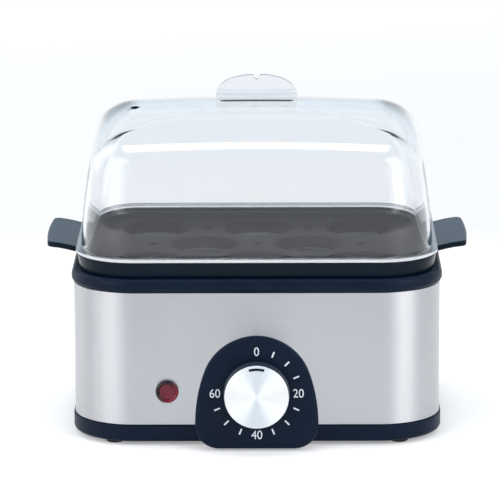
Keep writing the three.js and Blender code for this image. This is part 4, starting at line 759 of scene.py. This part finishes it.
def make_base():
    floor_top = BASE_LOW + BASE_FLOOR
    lip_inner = LINING - BASE_LIP_WALL
    edge = []
    for angle in quarter_turn(6):
        inset = BASE_EDGE * (1 - math.sin(angle))
        edge.append((BASE_PROUD - inset, BASE_LOW + BASE_EDGE * (1 - math.cos(angle)), 0))
    section = rounded_section([
        *edge,
        (BASE_PROUD, BASE_SHOULDER, ROUND),
        (LINING, BASE_SHOULDER, 0),
        (LINING, BASE_LIP_TOP, SMALL),
        (lip_inner, BASE_LIP_TOP, SMALL),
        (lip_inner, floor_top, BASE_FLOOR_ROUND),
    ], closed=False, steps=4)
    pan = loft([plan_ring(*row, steps=18) for row in section], first_cap=True, last_cap=True)
    slope = HOUSING_DRAFT / (HOUSING_REAR - HOUSING_FRONT - HOUSING_BEVEL)
    notch = HOUSING_HALF - HOUSING_DRAFT + slope * BASE_PROUD + SEAT
    plate = PEG_X - PEG_RADIUS - RUN + SEAT
    deep = 2 * BASE_PROUD
    plate_high = (plate, BAND_FRONT - lip_inner + deep, BASE_LIP_TOP + deep)
    cutters = [
        block((-notch, BAND_FRONT - deep, 0), (notch, BAND_FRONT, BASE_SHOULDER)),
        block((-plate, BAND_FRONT + SHEET, DIAL_Z - plate), plate_high),
    ]
    for side_x in (-1, 1):
        for side_y in (-1, 1):
            cutters.append(rod(FOOT_STEM + SEAT, 0, HOLE_DEPTH, side_x * FOOT_X, side_y * FOOT_Y, 0, "z", 32))
            x, y = side_x * ROD_X, side_y * ROD_Y
            cutters.append(rod(SCREW_HEAD + SEAT, 0, SCREW_RECESS, x, y, BASE_LOW / 2, "z", 32))
            cutters.append(rod(SCREW_SHANK + SEAT, 0, HOLE_DEPTH, x, y, BASE_LOW / 2, "z", 32))
    piece("base_shell", pan, "boiler", "black_moulding", ["base_pan"], cutters=cutters)


def make_feet():
    pad_top = BASE_LOW - SEAT
    barb_low = BASE_LOW + BASE_FLOOR + SEAT
    section = rounded_section([
        (AXIS, 0, 0),
        (FOOT_LOW, 0, MEDIUM),
        (FOOT_TOP, pad_top, CRISP),
        (FOOT_STEM, pad_top, 0),
        (FOOT_STEM, barb_low, 0),
        (FOOT_BARB, barb_low, CRISP),
        (FOOT_BARB / 2, FOOT_BARB_TOP, MEDIUM),
        (AXIS, FOOT_BARB_TOP, 0),
    ], closed=False, steps=3)
    for depth, side_y in (("front", -1), ("rear", 1)):
        for hand, side_x in (("left", -1), ("right", 1)):
            pad = turned(section, side_x * FOOT_X, side_y * FOOT_Y, 0, "z", 40)
            piece(f"pad_{depth}_{hand}", pad, "boiler", "rubber", [f"foot_{depth}_{hand}"])


# Dial housing, drawn about the middle of its arch
def housing_outline(inset, depth, steps=10):
    radius, half, corner = HOUSING_RADIUS - inset, HOUSING_HALF - inset, HOUSING_CORNER - inset
    low = HOUSING_FLOOR + inset - ARCH_Z
    pull = HOUSING_PULL_SHARE * (HOUSING_FLOOR + HOUSING_CORNER - ARCH_Z)
    leave = math.atan2(pull, half) + math.acos(radius / math.hypot(pull, half))
    start = (radius * math.cos(leave), radius * math.sin(leave))
    right = []
    for step in range(steps * 3):
        angle = QUARTER + (leave - QUARTER) * step / (steps * 3)
        right.append((radius * math.cos(angle), radius * math.sin(angle)))
    for step in range(steps + 1):
        t = step / steps
        a, b, c = (1 - t) ** 2, 2 * t * (1 - t), t * t
        right.append((a * start[0] + b * half + c * half, a * start[1] + b * pull + c * (low + corner)))
    for step in range(1, steps + 1):
        angle = -QUARTER * step / steps
        right.append((half - corner + corner * math.cos(angle), low + corner + corner * math.sin(angle)))
    left = [(-x, z) for x, z in reversed(right[1:])]
    return [(x, depth, ARCH_Z + z) for x, z in right + left]


def make_housing():
    roof = HOUSING_FRONT + HOUSING_WALL
    lining = HOUSING_DRAFT + HOUSING_WALL
    bore = SHAFT_RADIUS + RUN
    hole = []
    for x, _, z in housing_outline(0, 0):
        angle = math.atan2(z - DIAL_Z, x)
        hole.append((bore * math.cos(angle), DIAL_Z + bore * math.sin(angle)))
    rings = [
        [(x, roof, z) for x, z in hole],
        housing_outline(lining + HOUSING_FILLET, roof),
        housing_outline(lining, roof + HOUSING_FILLET),
        housing_outline(lining, HOUSING_REAR),
        housing_outline(HOUSING_DRAFT + FINE, HOUSING_REAR),
        housing_outline(HOUSING_DRAFT, HOUSING_REAR - FINE),
    ]
    for angle in quarter_turn(7):
        inset = HOUSING_BEVEL * (1 - math.cos(angle))
        rings.append(housing_outline(inset, HOUSING_FRONT + HOUSING_BEVEL * (1 - math.sin(angle))))
    rings.append([(x, HOUSING_FRONT, z) for x, z in hole])
    peg_front = HOUSING_FRONT + HOUSING_WALL / 2
    peg_rear = housing_high[1]
    pegs = [rod(PEG_RADIUS, peg_front, peg_rear, side * PEG_X, 0, DIAL_Z, "y", 24) for side in (-1, 1)]
    shell = joined(loft(rings, closed=True), *pegs)
    shown = piece("dial_shell", shell, "boiler", "black_moulding", ["dial_housing"])
    # The photograph's steel doesn't mirror the housing
    shown.visible_glossy = False


def make_marks():
    """Plain numbers and ticks, printed a hair's breadth proud of the dial's face."""
    face = HOUSING_FRONT - PRINT
    for number, angle in ((0, 0), (20, 90), (40, 180), (60, 270)):
        curve = bpy.data.curves.new(f"dial_number_{number}", "FONT")
        curve.body = str(number)
        curve.size = NUMBER_HEIGHT * MM
        curve.align_x = "CENTER"
        curve.align_y = "CENTER"
        curve.extrude = PRINT * MM
        text = linked(f"text_{number}", curve)
        bpy.context.view_layer.update()
        graph = bpy.context.evaluated_depsgraph_get()
        mesh = bpy.data.meshes.new_from_object(text.evaluated_get(graph))
        bpy.data.objects.remove(text)
        low = [min(v.co[axis] for v in mesh.vertices) for axis in (0, 1)]
        high = [max(v.co[axis] for v in mesh.vertices) for axis in (0, 1)]
        middle = [(a + b) / 2 for a, b in zip(low, high)]
        tall = NUMBER_HEIGHT * MM / (high[1] - low[1])
        turn = math.radians(angle)
        place = (NUMBER_ACROSS * math.sin(turn), face, DIAL_Z + NUMBER_UP * math.cos(turn))
        for vertex in mesh.vertices:
            a, b, c = vertex.co
            aside, above = (a - middle[0]) * tall * NUMBER_NARROW, (b - middle[1]) * tall
            vertex.co = put(place) + Vector((aside, -c, above))
        finish_piece(f"dial_number_{number}", mesh, "boiler", "print")
    bars = []
    for step in range(1, 16):
        if step % 4 == 0 or step > 12:
            continue
        out = Vector((math.sin(TICK_STEP * step), math.cos(TICK_STEP * step)))
        side = Vector((out.y, -out.x))
        rows = []
        for depth in (face - PRINT, HOUSING_FRONT + PRINT):
            for a, b in ((-1, -1), (1, -1), (1, 1), (-1, 1)):
                spot = out * (TICK_RADIUS + a * TICK_LONG / 2) + side * (b * TICK_THICK / 2)
                rows.append((spot.x, depth, DIAL_Z + spot.y))
        faces = [(0, 1, 2, 3), (7, 6, 5, 4), (0, 4, 5, 1), (1, 5, 6, 2), (2, 6, 7, 3), (3, 7, 4, 0)]
        bars.append((rows, faces))
    piece("dial_ticks", joined(*bars), "boiler", "print")


def pointer_block(grow, front, rear, steps=16):
    spread = POINTER_HALF_ANGLE + grow / POINTER_RADIUS
    half = POINTER_HALF_THICK + grow
    near, far = [], []
    for step in range(steps + 1):
        angle = QUARTER - spread + 2 * spread * step / steps
        cos, sin = math.cos(angle), math.sin(angle)
        near.append(((POINTER_RADIUS + half) * cos, (POINTER_RADIUS + half) * sin))
        far.append(((POINTER_RADIUS - half) * cos, (POINTER_RADIUS - half) * sin))
    outline = near + list(reversed(far))
    points = [(x, depth, DIAL_Z + z) for depth in (front, rear) for x, z in outline]
    count = len(outline)
    faces = [(at, (at + 1) % count, count + (at + 1) % count, count + at) for at in range(count)]
    for start in (0, count):
        for step in range(steps):
            a, b = start + step, start + step + 1
            c, d = start + count - 2 - step, start + count - 1 - step
            faces.append((a, b, c, d))
    return points, faces


def make_knob():
    inner = KNOB_FRONT + KNOB_SHEET
    bore = KNOB_FACE - KNOB_SHEET
    cap = rounded_section([
        (AXIS, KNOB_FRONT, 0),
        (KNOB_FACE, KNOB_FRONT, ROUND),
        (KNOB_FACE, KNOB_CAP_REAR, FINE),
        (bore, KNOB_CAP_REAR, FINE),
        (bore, inner, CRISP),
        (AXIS, inner, 0),
    ], closed=False, steps=5)
    slot = pointer_block(SEAT, KNOB_FRONT - KNOB_SHEET, inner + KNOB_SHEET)
    disc = turned(cap, 0, 0, DIAL_Z, "y", 96)
    piece("dial_cap", disc, "knob", "spun_metal", ["knob_cap"], cutters=[slot])
    core_front = inner + SEAT
    shoulder = KNOB_CAP_REAR + SEAT
    core = rounded_section([
        (AXIS, core_front, 0),
        (bore - SEAT, core_front, CRISP),
        (bore - SEAT, shoulder, 0),
        (KNOB_FACE, shoulder, SMALL),
        (KNOB_SKIRT, KNOB_REAR, SMALL),
        (AXIS, KNOB_REAR, 0),
    ], closed=False, steps=4)
    socket = rod(SHAFT_RADIUS + SEAT, SHAFT_FRONT - SEAT, KNOB_REAR + RUN, 0, 0, DIAL_Z)
    mesh = carve("dial_core", turned(core, 0, 0, DIAL_Z, "y", 96), [socket])
    points, faces = pointer_block(0, core_low[1], core_front + SEAT)
    both = bmesh.new()
    both.from_mesh(mesh)
    spots = [both.verts.new(put(point)) for point in points]
    for face in faces:
        both.faces.new([spots[index] for index in face])
    both.to_mesh(mesh)
    both.free()
    finish_piece("dial_core", mesh, "knob", "black_moulding", ["knob_core"])


def make_lamp():
    """A red moulding with a sunk disc inside a round ring, and its barrel behind the band."""
    disc = -LAMP_PROUD / 2
    section = rounded_section([
        (AXIS, disc, 0),
        (LAMP_DISC, disc, MEDIUM),
        (LAMP_DISC + LAMP_SLOPE, LAMP_SLOPE_SHARE * -LAMP_PROUD, SMALL),
        (LAMP_DISC + LAMP_RING_TOP, -LAMP_PROUD, MEDIUM),
        (LAMP_RADIUS, LAMP_EDGE_SHARE * -LAMP_PROUD, LAMP_ROUND),
        (LAMP_RADIUS, -SEAT, CRISP),
        (LAMP_BARREL, -SEAT, 0),
        (LAMP_BARREL, LAMP_TAIL, CRISP),
        (LAMP_BARREL - LAMP_BARREL_WALL, LAMP_TAIL, CRISP),
        (LAMP_BARREL - LAMP_BARREL_WALL, 0, SMALL),
        (AXIS, 0, 0),
    ], closed=False, steps=4)
    lens = turned(section, LAMP_X, BAND_FRONT, LAMP_Z, "y", 64)
    piece("lamp_cap", lens, "boiler", "red_lens", ["lamp_lens"])


def make_bushing():
    collar = LINING - BUSHING_COLLAR_THICK
    section = rounded_section([
        (BUSHING_BORE, BUSHING_REACH, ROUND),
        (BUSHING_RADIUS - BUSHING_TAPER, BUSHING_REACH, BUSHING_ROUND),
        (BUSHING_RADIUS, SEAT, MEDIUM),
        (BUSHING_NECK, SEAT, 0),
        (BUSHING_NECK, LINING, 0),
        (BUSHING_COLLAR, LINING, SMALL),
        (BUSHING_COLLAR, collar, SMALL),
        (BUSHING_NECK, collar, 0),
        (BUSHING_NECK, BUSHING_TAIL, SMALL),
        (BUSHING_BORE, BUSHING_TAIL, SMALL),
    ], steps=4)
    ring = turned(section, BUSHING_X, HALF_Y, BUSHING_Z, "y", 48, closed=True)
    piece("bushing_ring", ring, "boiler", "rubber", ["cord_bushing"])


def make_dish():
    inner = DISH_WALL - SHEET
    section = rounded_section([
        (DISH_WALL - DISH_EDGE, DISH_LOW, 0),
        (DISH_WALL, DISH_LOW, DISH_EDGE),
        (DISH_WALL, DISH_RIM, MEDIUM),
        (DISH_OUTER, DISH_RIM, CRISP),
        (DISH_OUTER, DISH_RIM + SHEET, SMALL),
        (inner, DISH_RIM + SHEET, DISH_LIP),
        (inner, DISH_LOW + SHEET, DISH_EDGE),
        (inner - DISH_EDGE, DISH_LOW + SHEET, 0),
    ], closed=False, steps=6)
    pan = loft([plan_ring(*row, steps=16) for row in section], first_cap=True, last_cap=True)
    stud = turned([
        (STUD_BORE, STUD_LOW + STUD_BORE_DEPTH),
        (STUD_BORE, STUD_LOW),
        (STUD_RADIUS, STUD_LOW),
        (STUD_RADIUS, DISH_LOW + SHEET / 2),
    ], STUD_X, 0, 0, "z", 40)
    piece("dish_pan", joined(pan, stud), "boiler", "plain_steel", ["water_dish"])


def seats():
    spots = []
    for row in (-1, 1):
        spots += [(column * PITCH_X, row * PITCH_Y) for column in (-1, 0, 1)]
        spots.append((row * PITCH_X / 2, 0.0))
    return spots


def vents():
    spots = [(-PITCH_X, 0.0), (0.0, 0.0), (PITCH_X, 0.0)]
    for row in (-1, 1):
        spots += [(side * PITCH_X / 2, row * PITCH_Y) for side in (-1, 1)]
    return spots


def funnel(rows, x, y, sides):
    """A skin of rows (radius, height) turned about an upright axis, open at both ends."""
    return loft([[(a, b, z) for a, b in circle(radius, x, y, sides)] for radius, z in rows])


def within(spot, loop):
    middle = sum((Vector(point[:2]) for point in loop), Vector((0, 0))) / len(loop)
    return (spot - middle).length < (Vector(loop[0][:2]) - middle).length * math.cos(math.pi / len(loop))


def plate_with_holes(outline, holes, z):
    """A flat face inside an outline and outside the holes, as triangles."""
    points, edges = [], []
    for loop in [outline, *holes]:
        start = len(points)
        points += [Vector(point[:2]) for point in loop]
        edges += [(start + at, start + (at + 1) % len(loop)) for at in range(len(loop))]
    spots, _, faces, _, _, _ = delaunay_2d_cdt(points, edges, [], 1, 1e-5)
    kept = []
    for face in faces:
        middle = sum((spots[index] for index in face), Vector((0, 0))) / len(face)
        if not any(within(middle, hole) for hole in holes):
            kept.append(tuple(face))
    return [(spot.x, spot.y, z) for spot in spots], kept


def handle_top(x):
    start = HALF_X + FLANGE_OUTER + SLIP
    share = min(max((x - start) / (HANDLE_END - HANDLE_EDGE - start), 0), 1)
    return TRAY_HIGH + HANDLE_RISE * math.sin(share * QUARTER)


def handle_half(inset, steps=8, stations=14):
    """Half of a handle's plan, from the middle of its outer edge round the corner to its root."""
    flat = HANDLE_HALF - HANDLE_CORNER
    turn_x = HANDLE_END - HANDLE_BOW - HANDLE_CORNER
    radius = HANDLE_CORNER - inset
    rows = []
    for step in range(steps):
        y = flat * step / steps
        rows.append((HANDLE_END - inset - HANDLE_BOW * (y / flat) ** 2, y))
    for angle in quarter_turn(steps):
        rows.append((turn_x + radius * math.cos(angle), flat + radius * math.sin(angle)))
    root = HANDLE_ROOT - SEAT_WALL
    for step in range(1, stations + 1):
        rows.append((turn_x + (root - turn_x) * step / stations, HANDLE_HALF - inset))
    return rows


def handle_solid(side, steps=6):
    """A handle's slab with its edges rounded above and below."""
    drops = []
    for angle in quarter_turn(steps):
        drops.append((HANDLE_EDGE * (1 - math.sin(angle)), HANDLE_EDGE * (1 - math.cos(angle))))
    drops += [(inset, HANDLE_THICK - drop) for inset, drop in reversed(drops)]
    rings = []
    for inset, drop in drops:
        half = handle_half(inset)
        whole = [(x, -y) for x, y in reversed(half[1:])] + half
        rings.append([(side * x, y, handle_top(x) - drop) for x, y in whole])
    points, faces = loft(rings)
    count = len(rings[0])
    middle = count // 2
    for start in (0, (len(rings) - 1) * count):
        at = start + middle
        faces.append((at, at + 1, at - 1))
        faces += [(at + step, at + step + 1, at - step - 1, at - step) for step in range(1, middle)]
    return points, faces


def make_tray():
    wall_section = rounded_section([
        (TRAY_INNER - TRAY_FILLET_REACH, DECK_TOP, 0),
        (TRAY_INNER, DECK_TOP, TRAY_FILLET),
        (TRAY_INNER, TRAY_HIGH, ROUND),
        (TRAY_TOP_OUTER, TRAY_HIGH, TRAY_FILLET),
        (TRAY_FOOT, TRAY_LOW, CRISP),
        (DISH_OUTER, TRAY_LOW, CRISP),
        (DISH_OUTER, SKIRT_LOW, SMALL),
        (SKIRT_INNER, SKIRT_LOW, SMALL),
        (SKIRT_INNER, DECK_LOW, 0),
    ], closed=False, steps=4)
    rings = [plan_ring(*row, steps=18) for row in wall_section]
    handles = [handle_solid(side) for side in (-1, 1)]
    piece("tray_wall", joined(loft(rings), *handles), "tray", "gloss_black", ["egg_tray"])

    slope = (SEAT_TOP - SEAT_LOW) / SEAT_DEPTH
    seat = rounded_section([
        (SEAT_TOP + SEAT_LIP + SEAT_LIP_REACH, DECK_TOP, 0),
        (SEAT_TOP - SEAT_LIP_SET, DECK_TOP, SEAT_LIP),
        (SEAT_LOW, DECK_TOP - SEAT_DEPTH, ROUND),
        (SEAT_LOW + SEAT_WALL, DECK_TOP - SEAT_DEPTH, ROUND),
        (SEAT_TOP + SEAT_WALL - slope * (DECK_TOP - DECK_LOW), DECK_LOW, 0),
    ], closed=False, steps=5)
    vent = rounded_section([
        (VENT + VENT_LIP, DECK_TOP, 0),
        (VENT, DECK_TOP, VENT_LIP),
        (VENT, DECK_LOW, 0),
    ], closed=False, steps=4)
    solids, top_holes, low_holes = [], [], []
    for spots, rows, sides in ((seats(), seat, SEAT_SIDES), (vents(), vent, VENT_SIDES)):
        for x, y in spots:
            top_holes.append(circle(rows[0][0], x, y, sides))
            low_holes.append(circle(rows[-1][0], x, y, sides))
            solids.append(funnel(rows, x, y, sides))
    solids.append(plate_with_holes(rings[0], top_holes, DECK_TOP))
    solids.append(plate_with_holes(rings[-1], low_holes, DECK_LOW))
    piece("tray_deck", joined(*solids), "tray", "grained_black")


# Lid
def crown_height(x, y, inward):
    return CROWN_TOP - inward - x * x / (2 * CROWN_RADIUS_X) - y * y / (2 * CROWN_RADIUS_Y)


def by_face(side, front, angle):
    return side + (front - side) * math.sin(angle) ** 2


def dome_ring(inset_at, height_at):
    plan = (HALF_X + DOME_FOOT, HALF_Y + DOME_FOOT, CORNER + DOME_FOOT)
    return shaped_ring(*plan, DOME_STEPS, DOME_STEPS, inset_at, height_at)


def level_ring(offset, z, proud=0):
    """A ring of the lid's plan at one height, moved out from the body's plan by offset."""
    return dome_ring(lambda angle: DOME_FOOT - proud - offset, lambda x, y, angle: z)


def dome_skin(inward, foot, bands=12):
    """Rings of one skin of the lid: up its leaning wall, over its shoulder and in to the middle."""
    rings = []
    for step in range(bands):
        share = step / bands

        def rising(x, y, angle):
            tall = by_face(SHOULDER_SIDE_TALL, SHOULDER_FRONT_TALL, angle)
            return foot + (crown_height(x, y, inward) - tall - foot) * share

        rings.append(dome_ring(lambda angle: inward + LID_LEAN * share ** LEAN_POWER, rising))
    for turn in quarter_turn(bands):

        def inset_at(angle):
            wide = by_face(SHOULDER_SIDE_WIDE, SHOULDER_FRONT_WIDE, angle)
            return inward + LID_LEAN + wide * (1 - math.cos(turn))

        def bending(x, y, angle):
            tall = by_face(SHOULDER_SIDE_TALL, SHOULDER_FRONT_TALL, angle)
            return crown_height(x, y, inward) - tall * (1 - math.sin(turn))

        rings.append(dome_ring(inset_at, bending))
    last = rings[-1]
    for step in range(1, bands):
        share = 1 - step / bands
        rings.append([(x * share, y * share, crown_height(x * share, y * share, inward)) for x, y, _ in last])
    bent = 2 * bands + 2
    for _ in range(2):
        smooth = rings[:2]
        for neighbours in zip(rings[1:bent], rings[2:bent + 1], rings[3:bent + 2]):
            spots = zip(*neighbours)
            smooth.append([tuple((a + 2 * b + c) / 4 for a, b, c in zip(*spot)) for spot in spots])
        rings = smooth + rings[bent + 1:]
    return rings


def make_lid():
    lower = rounded_section([
        (SPIGOT_INNER, FLANGE_HIGH, 0),
        (SPIGOT_INNER, SPIGOT_LOW, ROUND),
        (SPIGOT_OUTER, SPIGOT_LOW, MEDIUM),
        (SPIGOT_OUTER, FLANGE_LOW, 0),
        (FLANGE_OUTER, FLANGE_LOW, SMALL),
        (FLANGE_OUTER, FLANGE_HIGH, ROUND),
        (DOME_FOOT, FLANGE_HIGH, FLANGE_FILLET),
        (DOME_FOOT - DOME_FOOT_LEAN, FLANGE_HIGH + DOME_FOOT_RISE, 0),
    ], closed=False, steps=5)[1:-1]
    inner = list(reversed(dome_skin(LID_WALL, FLANGE_HIGH)))
    outer = dome_skin(0, FLANGE_HIGH)[1:]
    flange = [level_ring(*row) for row in lower]
    rings = inner + flange + outer
    points, faces = loft(rings)
    count = len(rings[0])
    for start, inward in ((0, LID_WALL), ((len(rings) - 1) * count, 0)):
        points.append((0, 0, crown_height(0, 0, inward)))
        faces += [(start + at, start + (at + 1) % count, len(points) - 1) for at in range(count)]
    through = 2 * LID_WALL
    slot_rings = []
    for z in (CROWN_TOP - through, CROWN_TOP + through):
        ring = []
        for side in (1, -1):
            for step in range(9):
                angle = -QUARTER + math.pi * step / 8
                across = SLOT_HALF - SLOT_THICK + SLOT_THICK * math.cos(angle)
                ring.append((side * across, side * SLOT_THICK * math.sin(angle), z))
        slot_rings.append(ring)
    slot = loft(slot_rings, first_cap=True, last_cap=True)
    vent = rod(LID_VENT, -SHOULDER_SIDE_TALL, through, VENT_X, VENT_Y, CROWN_TOP, "z", 32)
    piece("lid_shell", (points, faces), "lid", "clear", ["lid_dome"], sharp=40, cutters=[slot, vent])

    # A pale strip a hair's breadth proud of the flange's outer edge: a painted highlight where the clear
    # plastic gathers its light
    highlight_rim_section = rounded_section([
        (FLANGE_OUTER - PRINT, FLANGE_LOW + SEAT, 0),
        (FLANGE_OUTER, FLANGE_LOW + SEAT, 0),
        (FLANGE_OUTER, FLANGE_HIGH - SEAT, 0),
        (FLANGE_OUTER - PRINT, FLANGE_HIGH - SEAT, 0),
    ])
    highlight_rim = [level_ring(*row, PRINT) for row in highlight_rim_section]
    piece("lid_rim_painted_highlight", loft(highlight_rim, closed=True), "lid", "clear_edge")


def grip_half():
    rows = []
    for step in range(25):
        angle = step / 24 * GRIP_ARC
        x = GRIP_HALF * math.cos(angle) ** (2 / GRIP_SQUARENESS)
        z = GRIP_COLLAR + (GRIP_HEIGHT - GRIP_COLLAR) * math.sin(angle) ** (2 / GRIP_SQUARENESS)
        rows.append((x, z))
    return GRIP_TONGUE + rows + GRIP_NOTCH


def grip_thick(z):
    share = min(max((BEND_TOP - z) / BEND_DROP, 0), 1)
    return GRIP_THIN + GRIP_EXTRA * share * share * (3 - 2 * share)


def in_outline(spot, loop):
    inside = False
    for at in range(len(loop)):
        (x0, y0), (x1, y1) = loop[at - 1], loop[at]
        if (y0 > spot.y) != (y1 > spot.y) and spot.x < (x1 - x0) * (spot.y - y0) / (y1 - y0) + x0:
            inside = not inside
    return inside


def make_grip():
    """The tab over the crown, thick below its bend, with a tongue and hooks in the slot."""
    right = grip_half()
    outline = right + [(-x, z) for x, z in reversed(right[:-1])]
    count = len(outline)
    normals = []
    for at in range(count):
        along = (Vector(outline[(at + 1) % count]) - Vector(outline[at - 1])).normalized()
        normals.append(Vector((-along.y, along.x)))
    rings = []
    for step in range(7):
        angle = -QUARTER + math.pi * step / 6
        side = (step > 3) - (step < 3)
        ring = []
        for (x, z), normal in zip(outline, normals):
            spot = Vector((x, z)) + normal * GRIP_EDGE * (1 - math.cos(angle))
            depth = (grip_thick(z) - GRIP_EDGE) * side + GRIP_EDGE * math.sin(angle)
            ring.append((spot.x, depth, CROWN_TOP + spot.y))
        rings.append(ring)
    solids = [loft(rings)]
    for ring, side in ((rings[0], -1), (rings[-1], 1)):
        flat = [(x, z) for x, _, z in ring]
        spots = [Vector(point) for point in flat]
        edges = [(at, (at + 1) % count) for at in range(count)]
        for level in GRIP_LEVELS:
            z = CROWN_TOP + level
            reach = max(a for a, b in flat if abs(b - z) < GRIP_LEVEL_NEAR) - GRIP_LEVEL_INSET
            start = len(spots)
            across = range(GRIP_LEVEL_STEPS + 1)
            spots += [Vector((-reach + 2 * reach * at / GRIP_LEVEL_STEPS, z)) for at in across]
            edges += [(start + at, start + at + 1) for at in range(GRIP_LEVEL_STEPS)]
        points, _, faces, _, _, _ = delaunay_2d_cdt(spots, edges, [], 1, 1e-5)
        kept = []
        for face in faces:
            centre = sum((points[index] for index in face), Vector((0, 0))) / len(face)
            if in_outline(centre, flat):
                kept.append(tuple(face))
        placed = list(ring)
        placed += [(point.x, side * grip_thick(point.y - CROWN_TOP), point.y) for point in points[count:]]
        solids.append((placed, kept))
    piece("grip_tab", joined(*solids), "lid", "clear_grip", ["lid_grip"], sharp=50)


make_band()
make_trim()
make_base()
make_feet()
make_housing()
make_marks()
make_knob()
make_lamp()
make_bushing()
make_dish()
make_tray()
make_lid()
make_grip()

# Every CAD piece takes the finish that its slot in the record names
for entry in frame["record"]["subparts"]:
    node = frame["nodes"][entry["node"]]
    node.data.materials.clear()
    node.data.materials.append(MATERIALS[entry["material_slot"]])


# Camera at the photograph's angle
camera_data = bpy.data.cameras.new("camera")
camera_data.sensor_width = 36.0
camera_data.lens = CAMERA_LENS
camera_data.shift_x = CAMERA_SHIFT
camera_data.clip_end = 100.0
camera = bpy.data.objects.new("camera", camera_data)
camera.location = (CAMERA_X * MM, (SHIFT_Y + CAMERA_Y) * MM, CAMERA_Z * MM)
turn = (90.0 - CAMERA_PITCH, CAMERA_ROLL, CAMERA_YAW)
camera.rotation_euler = [math.radians(angle) for angle in turn]
bpy.context.scene.collection.objects.link(camera)
bpy.context.scene.camera = camera
bpy.context.scene.view_settings.view_transform = "Standard"


def background_rays(tree):
    """1 where the camera, a mirror or a glass looks, 0 where light is gathered."""
    path = add_node(tree, "LightPath").outputs
    some = combine(tree, "MAXIMUM", path["Is Camera Ray"], path["Is Glossy Ray"])
    return combine(tree, "MAXIMUM", some, path["Is Transmission Ray"])


def make_world():
    """White where it is looked at, and a cool sky over the horizon where it is mirrored."""
    world = bpy.data.worlds.new("studio")
    bpy.context.scene.world = world
    world.use_nodes = True
    tree = world.node_tree
    ground = first_node(tree, "BACKGROUND")
    path = add_node(tree, "LightPath").outputs
    mirrored = combine(tree, "SUBTRACT", path["Is Glossy Ray"], path["Is Transmission Ray"])
    where = add_node(tree, "TexCoord")
    split = add_node(tree, "SeparateXYZ")
    tree.links.new(where.outputs["Generated"], split.inputs["Vector"])
    above = range_between(tree, split.outputs["Z"], 0.0, 1.0, *SKY_BAND)
    sky = combine(tree, "MULTIPLY", mirrored, above)
    tint = ramp_between(tree, sky, WHITE_WORLD, SKY_TINT, 0.0, 1.0)
    tree.links.new(tint, ground.inputs["Color"])
    strength = range_between(tree, background_rays(tree), WORLD_FILL, 1.0, 0.0, 1.0)
    tree.links.new(strength, ground.inputs["Strength"])


def make_floor():
    mesh = bpy.data.meshes.new("floor")
    far = FLOOR_REACH
    mesh.from_pydata([(-far, -far, 0), (far, -far, 0), (far, far, 0), (-far, far, 0)], [], [(0, 1, 2, 3)])
    floor = linked("floor", mesh)
    tree, shader = new_material("floor")
    drift = surface_noise(tree, 3.0)
    tint = ramp_between(tree, drift, (0.86, 0.87, 0.88), (0.88, 0.89, 0.9))
    tree.links.new(tint, shader.inputs["Base Color"])
    set_sockets(shader, Roughness=0.7, Emission_Color=(1.0, 1.0, 1.0, 1.0))
    distance, _ = distance_from(tree, (0.0, 0.0, 0.0), (1.0, 1.0, 0.0))
    farthest = FLOOR_GLOW[-1][0]
    ramp = add_node(tree, "ValToRGB")
    tree.links.new(range_between(tree, distance, 0.0, 1.0, 0.0, farthest), ramp.inputs["Fac"])
    stops = ramp.color_ramp.elements
    while len(stops) < len(FLOOR_GLOW):
        stops.new(1.0)
    for stop, (reach, glow) in zip(stops, FLOOR_GLOW):
        stop.position = reach / farthest
        stop.color = (glow, glow, glow, 1.0)
    glow = combine(tree, "MULTIPLY", ramp.outputs["Color"], background_rays(tree))
    tree.links.new(glow, shader.inputs["Emission Strength"])
    mesh.materials.append(MATERIALS["floor"])


def softbox(name, place, size, power):
    """An oblong light that faces the body."""
    data = bpy.data.lights.new(name, "AREA")
    data.shape = "RECTANGLE"
    data.size, data.size_y = size
    data.energy = power
    lamp = linked(name, data)
    lamp.location = place
    aim = Vector((0.0, 0.0, LIGHT_AIM)) - Vector(place)
    lamp.rotation_euler = aim.to_track_quat("-Z", "Y").to_euler()


make_world()
make_floor()
softbox("top_box", (0.0, 0.1, 1.5), (1.2, 0.7), 8.0)
for name, degrees, reach, height, wide, tall, power in SIDE_BOXES:
    angle = math.radians(degrees)
    softbox(name, (reach * math.sin(angle), -reach * math.cos(angle), height), (wide, tall), power)
